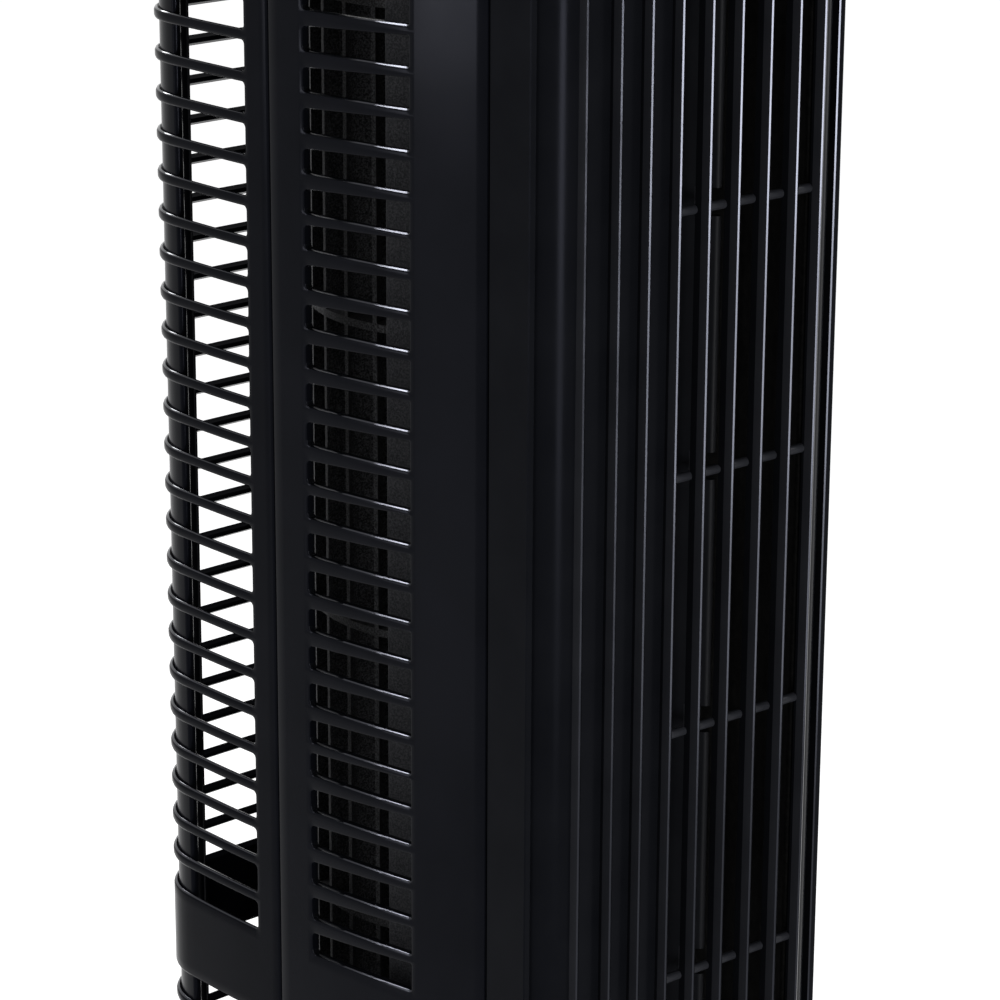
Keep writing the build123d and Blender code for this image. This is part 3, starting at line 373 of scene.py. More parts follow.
# Stamped electrical steel in a stack: dark sheets that show as level lines.
STACKED_STEEL = WorkedMetal(
    "electrical_steel_stamped_stack", "#6b6d70", "#34363a", 0.45,
    streak_mm=(60.0, 60.0, 0.5), streak_height_mm=0.05,
)
# Oil-soaked sintered bronze: warm brown, matt.
SINTERED_BRONZE = WorkedMetal("bronze_sintered_oiled", "#8c6a3e", "#5f4526", 0.5, streak_mm=(0.5, 0.5, 0.5))
# Sand-cast iron weight: rough and dark.
CAST_IRON = WorkedMetal(
    "iron_sand_cast", "#3d3c3b", "#242322", 0.65, streak_mm=(2.0, 2.0, 2.0), streak_height_mm=0.1,
)


@dataclass
class SolidGroup:
    """Solids that keep their shape and get a finish, some with edges eased so that they catch light."""

    nodes: Mapping[str, Finish] = field(default_factory=dict)
    eased_mm: Mapping[str, float] = field(default_factory=dict)
    weld_mm: float = 0.01
    ease_facets: int = 2

    def build(self) -> None:
        """Dresses the solids."""
        for name, finish in self.nodes.items():
            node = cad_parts[name]
            node.data.materials.clear()
            node.data.materials.append(finish.material())
            LOG.info("%s keeps its solid and gets %s", name, finish.name)
        for name, width in self.eased_mm.items():
            self._ease(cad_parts[name], width)

    def _ease(self, node: bpy.types.Object, width_mm: float) -> None:
        """Rounds the sharp edges of a solid a little, as a mould does.

        Args:
            node: The solid.
            width_mm: Width of the rounding.
        """
        weld = node.modifiers.new("weld", "WELD")
        weld.merge_threshold = self.weld_mm * MM
        bevel = node.modifiers.new("eased_edges", "BEVEL")
        bevel.width = width_mm * MM
        bevel.segments = self.ease_facets
        bevel.limit_method = "ANGLE"
        bevel.angle_limit = math.radians(SHARP_DEGREES)
        bevel.use_clamp_overlap = True
        bevel.harden_normals = False


class Accent(Enum):
    """Finishes that single faces of a piece have instead of the piece's own, by material number."""

    NONE = 0
    POLISHED = 1
    # A satin finish whose paler colour is painted light.
    SATIN = 2


NO_ACCENTS: Mapping[int, Accent] = {}


class Shell:
    """Faces gathered in millimetres and then made into one mesh object."""

    def __init__(self) -> None:
        """Starts empty."""
        self.points: list[Point] = []
        self.faces: list[tuple[int, ...]] = []
        self.accents: list[int] = []

    def _put(self, points: Sequence[Point]) -> list[int]:
        """Stores points.

        Args:
            points: The points.

        Returns:
            Their numbers.
        """
        first = len(self.points)
        self.points.extend(points)
        return list(range(first, len(self.points)))

    def strip(
        self,
        one: Sequence[Point],
        two: Sequence[Point],
        closed: bool = False,
        accents: Mapping[int, Accent] = NO_ACCENTS,
    ) -> None:
        """Joins two rows of points by four-sided faces.

        Args:
            one: The first row.
            two: The second row, with as many points.
            closed: Whether the rows are rings.
            accents: Number of a face along the rows to its finish, where it isn't the piece's own.
        """
        low = self._put(one)
        high = self._put(two)
        for index in range(len(low) if closed else len(low) - 1):
            after = (index + 1) % len(low)
            self.faces.append((low[index], low[after], high[after], high[index]))
            self.accents.append(accents.get(index, Accent.NONE).value)

    def loft(
        self,
        rings: Sequence[Sequence[Point]],
        caps: bool = False,
        accents: Mapping[int, Accent] = NO_ACCENTS,
    ) -> None:
        """Joins rings one after another.

        Args:
            rings: The rings, each with as many points.
            caps: Whether the first and last ring are filled.
            accents: Number of a face round each ring to its finish, where it isn't the piece's own.
        """
        for one, two in zip(rings, rings[1:]):
            self.strip(one, two, closed=True, accents=accents)
        if caps:
            self.fill(rings[0])
            self.fill(rings[-1])

    def fill(self, ring: Sequence[Point]) -> None:
        """Fills a ring with one face."""
        self.faces.append(tuple(self._put(ring)))
        self.accents.append(Accent.NONE.value)

    def make(
        self,
        name: str,
        body: Body,
        finish: Finish,
        sharp_degrees: float = SHARP_DEGREES,
    ) -> bpy.types.Object:
        """Makes the mesh object, welded and with its faces turned outwards.

        Args:
            name: The piece's name.
            body: The body that it rides on.
            finish: Its finish.
            sharp_degrees: Edges that turn by more stay sharp.

        Returns:
            The piece.
        """
        mesh = bpy.data.meshes.new(name)
        mesh.from_pydata([(x * MM, y * MM, z * MM) for x, y, z in self.points], [], self.faces)
        mesh.polygons.foreach_set("material_index", self.accents)
        work = bmesh.new()
        work.from_mesh(mesh)
        bmesh.ops.remove_doubles(work, verts=work.verts, dist=WELD)
        bmesh.ops.recalc_face_normals(work, faces=work.faces)
        work.to_mesh(mesh)
        work.free()
        mesh.shade_smooth()
        mesh.set_sharp_from_angle(angle=math.radians(sharp_degrees))
        piece = bpy.data.objects.new(name, mesh)
        bpy.context.scene.collection.objects.link(piece)
        for each in (finish, EDGE_BLACK, PAINTED_LIT_GREY)[:1 + max(self.accents)]:
            piece.data.materials.append(each.material())
        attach(piece, body.value)
        LOG.info("%s: %d faces in %s", name, len(mesh.polygons), finish.name)
        return piece


@dataclass(frozen=True)
class Station:
    """A place on a wall's outer line and the direction that faces out there."""

    x: float
    y: float
    out_x: float
    out_y: float

    @classmethod
    def on_arc(cls, x: float, y: float, radius: float, angle: float) -> "Station":
        """A place on an arc about x and y."""
        out_x, out_y = math.cos(angle), math.sin(angle)
        return cls(x + radius * out_x, y + radius * out_y, out_x, out_y)

    def mirrored(self) -> "Station":
        """The same place on the tower's other side."""
        return Station(-self.x, self.y, -self.out_x, self.out_y)


class WallLine:
    """The outer line of an upright wall, measured by the length along it."""

    def __init__(self, stations: Sequence[Station]) -> None:
        """Measures the line.

        Args:
            stations: The places that it runs through, in order.
        """
        self.stations = list(stations)
        self.along = [0.0]
        for one, two in zip(self.stations, self.stations[1:]):
            self.along.append(self.along[-1] + math.hypot(two.x - one.x, two.y - one.y))

    @property
    def length(self) -> float:
        """The whole length."""
        return self.along[-1]

    def point(self, along: float, depth: float, z: float) -> Point:
        """A point of the wall.

        Args:
            along: Length along the line.
            depth: Depth under the outer face.
            z: Height.

        Returns:
            The point.
        """
        index = min(max(bisect_right(self.along, along) - 1, 0), len(self.along) - 2)
        part = (along - self.along[index]) / (self.along[index + 1] - self.along[index])
        one, two = self.stations[index], self.stations[index + 1]
        out_x = one.out_x + part * (two.out_x - one.out_x)
        out_y = one.out_y + part * (two.out_y - one.out_y)
        size = math.hypot(out_x, out_y)
        x = one.x + part * (two.x - one.x) - depth * out_x / size
        y = one.y + part * (two.y - one.y) - depth * out_y / size
        return x, y, z

    def stops(self, start: float, end: float) -> list[float]:
        """The line's own stations between two lengths, both ends included."""
        inner = [along for along in self.along if start + APART < along < end - APART]
        return [start, *inner, end]

    def reach(self, test: Mapping[str, float]) -> float:
        """The first length at which the line passes an x or a y.

        Args:
            test: One entry, x or y, with the value.

        Returns:
            The length along the line.
        """
        (axis, value), = test.items()
        for index, (one, two) in enumerate(zip(self.stations, self.stations[1:])):
            low, high = getattr(one, axis), getattr(two, axis)
            if (low - value) * (high - value) <= 0 and low != high:
                part = (value - low) / (high - low)
                return self.along[index] + part * (self.along[index + 1] - self.along[index])
        raise ValueError(f"the wall never passes {axis} = {value}")

    def stretch(self, shell: Shell, span: Flat, heights: Flat, depth: Flat, ease: float = 0.0) -> None:
        """Adds a closed stretch of wall to a shell.

        Args:
            shell: What gathers the faces.
            span: Where it starts and ends along the line.
            heights: Its lower and upper edge.
            depth: Its outer and inner face under the line.
            ease: Width of the bevels on its upright edges, if any.
        """
        start, end = span
        near, far = depth
        stops = self.stops(start + ease, end - ease)
        ends = [(end, near + ease), (end, far - ease)], [(start, far - ease), (start, near + ease)]
        last, first = ends if ease else ([], [])
        outer = [(along, near) for along in stops]
        inner = [(along, far) for along in reversed(stops)]
        ring = [*outer, *last, *inner, *first]
        shell.loft([[self.point(along, under, z) for along, under in ring] for z in heights], caps=True)


@dataclass(frozen=True)
class TowerSection:
    """The tower's outline seen from above. The front faces -Y."""

    width: float = 127.0
    depth: float = 153.4
    side_radius: float = 470.0
    back_radius: float = 600.0
    widest_from_back: float = 24.4
    rear_corner: float = 19.5
    front_depth: float = 21.7
    parting_from_back: float = 61.4
    gap: float = 0.3

    @property
    def front_y(self) -> float:
        """Y of the fins' tips."""
        return -self.depth / 2

    @property
    def back_y(self) -> float:
        """Y of the back."""
        return self.depth / 2

    @property
    def seam_y(self) -> float:
        """Y of the seam between the grille and the side panels."""
        return self.front_y + self.front_depth

    @property
    def parting_y(self) -> float:
        """Y of the line between the side panels and the rear guard."""
        return self.back_y - self.parting_from_back

    @property
    def widest_y(self) -> float:
        """Y at which the tower is widest."""
        return self.back_y - self.widest_from_back

    def side_half(self, y: float) -> float:
        """Half the tower's width at y."""
        return self.width / 2 - self.side_radius + math.sqrt(self.side_radius**2 - (y - self.widest_y) ** 2)

    def side_station(self, side: Side, y: float) -> Station:
        """A place on one side of the tower."""
        lean = (y - self.widest_y) / self.side_radius
        return Station(side.value * self.side_half(y), y, side.value * math.sqrt(1 - lean**2), lean)

    def side_line(self, side: Side) -> WallLine:
        """A side from the seam to the parting line.

        Args:
            side: Which side.

        Returns:
            The wall's line.
        """
        reach = self.parting_y - self.seam_y
        places = [self.seam_y + reach * index / SIDE_STEPS for index in range(SIDE_STEPS + 1)]
        return WallLine([self.side_station(side, y) for y in places])

    def rear_line(self) -> WallLine:
        """The back from the left parting line round to the right one.

        Returns:
            The wall's line.
        """
        flank = self.side_radius - self.width / 2
        middle = self.back_y - self.back_radius
        near, far = self.side_radius - self.rear_corner, self.back_radius - self.rear_corner
        apart = math.hypot(flank, middle - self.widest_y)
        foot = (near**2 - far**2 + apart**2) / (2 * apart)
        rise = math.sqrt(near**2 - foot**2)
        ux, uy = -flank / apart, (middle - self.widest_y) / apart
        centres = [
            (flank + foot * ux - turn * rise * uy, self.widest_y + foot * uy + turn * rise * ux)
            for turn in (-1, 1)
        ]
        cx, cy = max(centres, key=lambda centre: centre[1])
        side_angle = math.atan2(cy - self.widest_y, cx - flank)
        back_angle = math.atan2(cy - middle, cx)
        half = []
        start, end = self.parting_y + self.gap, self.widest_y + self.side_radius * math.sin(side_angle)
        for index in range(ARC_STEPS):
            half.append(self.side_station(Side.LEFT, start + (end - start) * index / ARC_STEPS))
        for index in range(ARC_STEPS + 1):
            angle = side_angle % (2 * math.pi)
            angle += (back_angle - angle) * index / ARC_STEPS
            half.append(Station.on_arc(cx, cy, self.rear_corner, angle))
        for index in range(1, ARC_STEPS + 1):
            angle = back_angle + (math.pi / 2 - back_angle) * index / ARC_STEPS
            half.append(Station.on_arc(0.0, middle, self.back_radius, angle))
        return WallLine([*half, *[place.mirrored() for place in reversed(half[:-1])]])


@dataclass(frozen=True)
class Slot:
    """An opening in a wall with upright ends, sloping long edges and round corners."""

    start: float
    end: float
    low: Flat
    high: Flat
    corner: Flat

    def slope(self, edge: Flat) -> float:
        """Rise of a long edge along the wall."""
        return (edge[1] - edge[0]) / (self.end - self.start)

    def corner_heights(self) -> tuple[Flat, Flat]:
        """Finds the centres of the corners' arcs.

        Returns:
            Their heights, lower and upper, each at the start and at the end.
        """
        under, over = self.slope(self.low), self.slope(self.high)
        first, last = self.corner
        steep, flat = math.hypot(1, under), math.hypot(1, over)
        lower = self.low[0] + first * (steep + under), self.low[1] + last * (steep - under)
        upper = self.high[0] - first * (flat - over), self.high[1] - last * (flat + over)
        return lower, upper

    def ring(self, stops: Sequence[float], swell: float, sag: Flat = (0.0, 0.0)) -> list[Flat]:
        """The opening's edge, drawn outwards by swell.

        Args:
            stops: Lengths along the wall at which the long edges get a point.
            swell: How far outside the opening the ring runs.
            sag: How much further down its lower edge lies at the start and at the end.

        Returns:
            Length and height of each point, from the lower start corner on.
        """
        lower, upper = self.corner_heights()
        under, over = self.slope(self.low), self.slope(self.high)
        down, up = 1.5 * math.pi + math.atan(under), math.pi / 2 + math.atan(over)
        places = self.start + self.corner[0], self.end - self.corner[1]

        def arc(end: int, z: float, first: float, last: float) -> list[Flat]:
            """The points on one corner.

            Args:
                end: 0 for a corner at the slot's start and 1 for one at its end.
                z: Height of the arc's centre.
                first: Angle of the first point.
                last: Angle of the last point.

            Returns:
                Length and height of each point.
            """
            radius = self.corner[end] + swell
            turns = [first + (last - first) * index / (CORNER_POINTS - 1) for index in range(CORNER_POINTS)]
            return [
                (
                    places[end] + radius * math.cos(turn),
                    z + radius * math.sin(turn) + sag[end] * min(0.0, math.sin(turn)),
                )
                for turn in turns
            ]

        def drop(along: float) -> float:
            """The lower edge's sag at a length along the wall."""
            return sag[0] + (sag[1] - sag[0]) * (along - self.start) / (self.end - self.start)

        bottom = [
            (along, self.low[0] + under * (along - self.start) - swell * math.hypot(1, under) - drop(along))
            for along in stops
        ]
        top = [
            (along, self.high[0] + over * (along - self.start) + swell * math.hypot(1, over))
            for along in reversed(stops)
        ]
        return [
            *arc(0, lower[0], math.pi, down), *bottom, *arc(1, lower[1], down, 2 * math.pi),
            *arc(1, upper[1], 0.0, up), *top, *arc(0, upper[0], up, math.pi),
        ]


@dataclass(frozen=True)
class Row:
    """A level course of a wall, with or without a slot."""

    low: float
    high: float
    slot: Slot | None = None


@dataclass
class SlottedWall:
    """A curved wall cut by slots, every rim rounded and the lower ones polished."""

    line: WallLine
    thickness: float
    rim: float
    cell_start: float
    cell_end: float
    rows: Sequence[Row]
    corner: float = 1.0
    draft: float = 0.0
    back_rim: float = 0.4
    sill: Flat = (0.0, 0.0)
    corner_reach: float = 2.5

    def build(self, shell: Shell) -> None:
        """Adds the wall to a shell.

        Args:
            shell: What gathers the faces.
        """
        left = self.line.stops(self.rim, self.cell_start)
        right = self.line.stops(self.cell_end, self.line.length - self.rim)
        reach = self.corner_reach * self.corner
        inside = self.line.stops(self.cell_start + reach, self.cell_end - reach)
        for row in self.rows:
            starts, ends = self._levels(row)
            for depth in (0.0, self.thickness):
                self._courses(shell, left, starts, depth)
                self._courses(shell, right, ends, depth)
            self._edge(shell, starts, 0.0, 1.0)
            self._edge(shell, ends, self.line.length, -1.0)
            if row.slot:
                self._cell(shell, row, inside)
            else:
                across = self._cell_columns(inside)
                for depth in (0.0, self.thickness):
                    self._courses(shell, across, [row.low, row.high], depth)
        columns = [*left, *self._cell_columns(inside), *right]
        for z in (self.rows[0].low, self.rows[-1].high):
            outer = [self.line.point(along, 0.0, z) for along in columns]
            inner = [self.line.point(along, self.thickness, z) for along in columns]
            shell.strip(outer, inner)
            shell.fill(self._profile(0.0, 1.0, z))
            shell.fill(self._profile(self.line.length, -1.0, z))

    def _cell_columns(self, inside: Sequence[float]) -> list[float]:
        """Divides the courses that hold the slots.

        Args:
            inside: Lengths along the slots' long edges that get a point.

        Returns:
            Lengths at which these courses have points, from side to side.
        """
        left, right = inside[0], inside[-1]
        return [
            self.cell_start, (self.cell_start + left) / 2,
            *inside,
            (right + self.cell_end) / 2, self.cell_end,
        ]

    def _levels(self, row: Row) -> tuple[list[float], list[float]]:
        """Divides a row's height.

        Args:
            row: The row.

        Returns:
            Heights at which it has points, at the start and at the end of its slot.
        """
        if not row.slot:
            return [row.low, row.high], [row.low, row.high]
        sides = []
        for lower, upper in zip(*row.slot.corner_heights()):
            middle = [(row.low + lower) / 2, lower, upper, (upper + row.high) / 2]
            sides.append([row.low, *middle, row.high])
        return sides[0], sides[1]

    def _courses(self, shell: Shell, columns: Sequence[float], levels: Sequence[float], depth: float) -> None:
        """Adds a plain part of one face.

        Args:
            shell: What gathers the faces.
            columns: Lengths along the wall that get points.
            levels: Heights that get points.
            depth: Depth of the face under the outer one.
        """
        for low, high in zip(levels, levels[1:]):
            shell.strip(
                [self.line.point(along, depth, low) for along in columns],
                [self.line.point(along, depth, high) for along in columns],
            )

    def _profile(self, end: float, inwards: float, z: float) -> list[Point]:
        """The section of the wall's rounded upright edge.

        Args:
            end: Where along the line the wall ends.
            inwards: 1 or -1, the direction along the line into the wall.
            z: Height.

        Returns:
            Its points, from the outer to the inner face.
        """
        easy = self.rim * EASE
        steps = [
            (self.rim, 0.0), (easy, easy), (0.0, self.rim), (0.0, self.thickness - self.rim),
            (easy, self.thickness - easy), (self.rim, self.thickness),
        ]
        return [self.line.point(end + inwards * along, depth, z) for along, depth in steps]

    def _edge(self, shell: Shell, levels: Sequence[float], end: float, inwards: float) -> None:
        """Adds one upright edge over the given levels."""
        for low, high in zip(levels, levels[1:]):
            shell.strip(self._profile(end, inwards, low), self._profile(end, inwards, high))

    def _cell(self, shell: Shell, row: Row, inside: Sequence[float]) -> None:
        """Adds a slot with its rims and the wall round it.

        Args:
            shell: What gathers the faces.
            row: The row that holds the slot.
            inside: Lengths along the slot's long edges that get a point.
        """
        slot = row.slot
        lower, upper = slot.corner_heights()
        columns = self._cell_columns(inside)
        first, second, last, before = columns[0], columns[1], columns[-1], columns[-2]
        left, right = inside[0], inside[-1]
        border = [
            (first, lower[0]), (first, (lower[0] + row.low) / 2), (first, row.low), (second, row.low),
            (left, row.low),
            *[(along, row.low) for along in inside],
            (right, row.low), (before, row.low), (last, row.low), (last, (lower[1] + row.low) / 2),
            (last, lower[1]),
            (last, upper[1]), (last, (upper[1] + row.high) / 2), (last, row.high), (before, row.high),
            (right, row.high),
            *[(along, row.high) for along in reversed(inside)],
            (left, row.high), (second, row.high), (first, row.high), (first, (upper[0] + row.high) / 2),
            (first, upper[0]),
        ]
        easy, back_easy = self.rim * EASE, self.back_rim * EASE
        deep, draft = self.thickness, self.draft
        loops = [
            (border, 0.0), (slot.ring(inside, self.rim, self.sill), 0.0),
            (slot.ring(inside, easy, (self.sill[0] / 2, self.sill[1] / 2)), easy),
            (slot.ring(inside, 0.0), self.rim), (slot.ring(inside, draft), deep - self.back_rim),
            (slot.ring(inside, draft + back_easy), deep - back_easy),
            (slot.ring(inside, draft + self.back_rim), deep), (border, deep),
        ]
        rings = [[self.line.point(along, depth, z) for along, z in loop] for loop, depth in loops]
        far = CORNER_POINTS + len(inside)
        end = far + CORNER_POINTS - 1
        shell.loft(rings[:3])
        shell.loft(rings[2:4], accents={face: Accent.POLISHED for face in range(end)})
        shell.loft(rings[3:5], accents={face: Accent.POLISHED for face in range(far, end)})
        shell.loft(rings[4:])


@dataclass(frozen=True)
class TowerLevels:
    """The tower's heights: two windows with a band between them."""

    bottom: float = 128.0
    margin: float = 6.0
    window: float = 267.6
    band: float = 24.0

    @property
    def lower_sill(self) -> float:
        """Lower edge of the lower window."""
        return self.bottom + self.margin

    @property
    def band_bottom(self) -> float:
        """Lower edge of the band."""
        return self.lower_sill + self.window

    @property
    def upper_sill(self) -> float:
        """Lower edge of the upper window."""
        return self.band_bottom + self.band

    @property
    def top(self) -> float:
        """Upper edge of the tower's shell."""
        return self.upper_sill + self.window + self.margin


def courses(openings: Sequence[Slot], low: float, high: float) -> list[Row]:
    """Stacks slots into rows from the bottom of a wall to its top.

    Args:
        openings: The slots, from the lowest up.
        low: Bottom of the wall.
        high: Top of the wall.

    Returns:
        Rows that meet without a gap.
    """
    rows: list[Row] = []
    level = low
    for index, slot in enumerate(openings):
        foot, head = min(slot.low), max(slot.high)
        after = min(openings[index + 1].low) if index + 1 < len(openings) else high
        start = level if foot - level <= 2 * LAND else foot - LAND
        if start > level + TINY:
            rows.append(Row(level, start))
        end = (head + after) / 2 if after - head <= 2 * LAND else head + LAND
        rows.append(Row(start, end, slot))
        level = end
    if high > level + TINY:
        rows.append(Row(level, high))
    return rows


@dataclass
class SidePanels:
    """The two smooth sides of the tower, each with two ladders of slots."""

    section: TowerSection
    levels: TowerLevels
    thickness: float = 2.4
    rim: float = 0.45
    sill: Flat = (0.5, 0.0)
    vent_from_seam: float = 23.2
    vent_length: float = 34.8
    slot_count: int = 27
    slot_pitch: float = 10.0
    group: int = 7
    first_group: int = 6
    group_step: float = 8.93
    rear_height: float = 6.0
    front_height: float = 8.0
    front_rise: float = 0.5
    corner: Flat = (0.45, 1.2)
    cell_reach: float = 1.5
    sharp_degrees: float = 30.0

    def heights(self) -> Iterator[float]:
        """Places the slots of one window.

        Yields:
            Each slot's distance from the band.
        """
        height = 0.0
        for index in range(self.slot_count):
            yield height
            closes_group = (index + 1 - self.first_group) % self.group == 0
            height += self.group_step if closes_group else self.slot_pitch

    def slots(self, line: WallLine) -> list[Slot]:
        """All slots of one side, from the lowest up.

        Args:
            line: The side's line.

        Returns:
            The slots.
        """
        front = line.reach({"y": self.section.seam_y + self.vent_from_seam})
        rear = line.reach({"y": self.section.seam_y + self.vent_from_seam + self.vent_length})
        lows = [self.levels.band_bottom - height - self.rear_height for height in self.heights()]
        lows += [self.levels.upper_sill + height for height in self.heights()]
        return [
            Slot(
                front, rear, (low + self.front_rise, low), (low + self.front_height, low + self.rear_height),
                self.corner,
            )
            for low in sorted(lows)
        ]

    def build(self) -> None:
        """Makes both panels in place of their solids."""
        for side in Side:
            line = self.section.side_line(side)
            slots = self.slots(line)
            rows = courses(slots, self.levels.bottom, self.levels.top)
            shell = Shell()
            corner = max(self.corner)
            reach = self.cell_reach * corner
            SlottedWall(
                line, self.thickness, self.rim, slots[0].start - reach, slots[0].end + reach, rows, corner,
                sill=self.sill,
            ).build(shell)
            name = f"side_panel_{side.name.lower()}"
            piece = shell.make(f"slotted_{name}", Body.TOWER, GLOSS_BLACK, self.sharp_degrees)
            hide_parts(name)


@dataclass
class RearGuard:
    """The back of the tower: posts, bands and hoops, over recessed corner bars and a spine."""

    section: TowerSection
    levels: TowerLevels
    thickness: float = 2.4
    rim: float = 0.8
    post_width: float = 9.6
    hoop_count: int = 25
    hoop_pitch: float = 10.4
    hoop_height: float = 2.8
    corner: float = 1.0
    cell_reach: float = 1.8
    draft: float = 0.75
    bar_inset: float = 1.3
    bar_thickness: float = 2.2
    bar_ease: float = 0.5
    bar_end_gap: float = 0.2
    bar_side_leg: float = 22.2
    bar_back_leg: float = 17.6
    spine_width: float = 14.0

    def build(self) -> None:
        """Makes the guard in place of its solid."""
        line = self.section.rear_line()
        start = line.reach({"y": self.section.parting_y + self.post_width})
        end = line.length - start
        openings = []
        for sill in (self.levels.lower_sill, self.levels.upper_sill):
            for index in range(self.hoop_count + 1):
                low = sill + index * self.hoop_pitch
                high = low + self.hoop_pitch - self.hoop_height
                openings.append(Slot(start, end, (low, low), (high, high), (self.corner, self.corner)))
        rows = courses(openings, self.levels.bottom, self.levels.top)
        shell = Shell()
        reach = self.cell_reach * self.corner
        SlottedWall(
            line, self.thickness, self.rim, start - reach, end + reach, rows, self.corner, self.draft,
        ).build(shell)
        side_start = line.reach({"y": self.section.back_y - self.bar_side_leg})
        side_end = line.reach({"x": -self.section.width / 2 + self.bar_back_leg})
        heights = (self.levels.bottom + self.bar_end_gap, self.levels.top - self.bar_end_gap)
        depth = (self.bar_inset, self.bar_inset + self.bar_thickness)
        half_spine = self.spine_width / 2
        middle = line.length / 2
        for one, two in (
            (side_start, side_end), (line.length - side_end, line.length - side_start),
            (middle - half_spine, middle + half_spine),
        ):
            line.stretch(shell, (one, two), heights, depth, self.bar_ease)
        piece = shell.make("hooped_rear_guard", Body.TOWER, GUARD_BLACK)
        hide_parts("rear_guard")


@dataclass
class FrontGrille:
    """The front moulding: upright fins over a set-back floor, open at the outlet, with cross rods."""

    section: TowerSection
    levels: TowerLevels
    fin_pitch: float = 9.549
    fin_thickness: float = 1.5
    fin_depth: float = 4.7
    fin_nose_width: float = 0.84
    fin_nose: Flat = (0.36, 0.21)
    # Depth of a fin's thinning front part, which also gets the painted-lit grey.
    flank_depth: float = 2.7
    fins_each_side: int = 4
    fin_end_gap: float = 0.1
    brow_radius: float = 26.0
    brow_start: float = 30.2
    cheek_width: float = 2.1
    cheek_from_seam_edge: float = 0.5
    cheek_setback: float = 7.2
    floor_inset: float = 3.6
    floor_corner: float = 13.0
    floor_wall: float = 2.0
    cheek_inset: float = 1.0
    lip_length: float = 5.0
    lip_inset: float = 2.7
    outlet_fins: tuple[int, int] = (-1, 4)
    outlet_above_foot: float = 68.0
    outlet_below_cap: float = 14.0
    rod_diameter: float = 2.3
    rod_sides: int = 20
    rod_margin: float = 4.0
    rod_pitch: float = 66.4
    rod_above_sill: float = 3.3
    rod_behind_fins: float = 0.3
    sharp_degrees: float = 20.0

    def floor_line(self) -> WallLine:
        """The floor's outer line from the left seam round to the right one.

        Returns:
            The wall's line.
        """
        half = self.section.side_half(self.section.seam_y) - self.cheek_inset
        front = self.section.front_y + self.floor_inset
        radius = self.floor_corner
        places = [Station(-half, self.section.seam_y, -1.0, 0.0)]
        for index in range(ARC_STEPS + 1):
            angle = math.pi + math.pi / 2 * index / ARC_STEPS
            places.append(Station.on_arc(-half + radius, front + radius, radius, angle))
        return WallLine([*places, *[place.mirrored() for place in reversed(places)]])

    def rod_heights(self) -> Iterator[float]:
        """Places the cross rods, counted from the upper sill.

        Yields:
            Each rod's height, from the lowest up.
        """
        low = self.levels.bottom + self.outlet_above_foot
        high = self.levels.top - self.outlet_below_cap
        first = self.levels.upper_sill + self.rod_above_sill
        margin = self.rod_margin * self.rod_diameter
        height = first + math.ceil((low + margin - first) / self.rod_pitch) * self.rod_pitch
        while height < high - margin:
            yield height
            height += self.rod_pitch

    def tip_at(self, x: float) -> float:
        """Y of a fin's tip at x: level in the middle and falling back towards the cheeks."""
        over = max(0.0, abs(x) - self.brow_start)
        return self.section.front_y + self.brow_radius - math.sqrt(self.brow_radius**2 - over**2)

    def build(self) -> None:
        """Makes the grille in place of its solid."""
        shell = Shell()
        self._floor(shell)
        back = self.section.front_y + self.fin_depth
        # Faces round a fin: 1 and 5 are its flanks' front parts, painted paler as lit, 2 and 4 the edges
        # beside its nose.
        bright = {1: Accent.SATIN, 2: Accent.POLISHED, 4: Accent.POLISHED, 5: Accent.SATIN}
        for index in range(-self.fins_each_side, self.fins_each_side + 1):
            x = index * self.fin_pitch
            self._fin(shell, x, (self.tip_at(x), back), (self.fin_nose_width, self.fin_thickness), bright)
        edge = self.section.side_half(self.section.seam_y) - self.cheek_from_seam_edge - self.cheek_width / 2
        span = (self.section.front_y + self.cheek_setback, self.section.seam_y - self.section.gap)
        for side, inner_edge in ((Side.LEFT, 4), (Side.RIGHT, 2)):
            accents = {inner_edge: Accent.POLISHED}
            self._fin(shell, side.value * edge, span, (self.cheek_width, self.cheek_width), accents)
        for height in self.rod_heights():
            self._rod(shell, height)
        piece = shell.make("finned_front_grille", Body.TOWER, GRILLE_BLACK, self.sharp_degrees)
        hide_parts("front_grille")

    def _floor(self, shell: Shell) -> None:
        """Adds the floor with its outlet and the lips behind the seams.

        Args:
            shell: What gathers the faces.
        """
        line = self.floor_line()
        low = self.levels.bottom + self.outlet_above_foot
        high = self.levels.top - self.outlet_below_cap
        depth = (0.0, self.floor_wall)
        left = line.reach({"x": self.outlet_fins[0] * self.fin_pitch})
        right = line.reach({"x": self.outlet_fins[1] * self.fin_pitch})
        line.stretch(shell, (0.0, left), (low, high), depth)
        line.stretch(shell, (right, line.length), (low, high), depth)
        line.stretch(shell, (0.0, line.length), (self.levels.bottom, low), depth)
        line.stretch(shell, (0.0, line.length), (high, self.levels.top), depth)
        half = self.section.side_half(self.section.seam_y) - self.lip_inset
        for side in Side:
            stations = [
                Station(side.value * half, y, side.value, 0.0)
                for y in (self.section.seam_y - self.lip_length, self.section.seam_y + self.lip_length)
            ]
            lip = WallLine(stations)
            lip.stretch(shell, (0.0, lip.length), (self.levels.bottom, self.levels.top), depth)

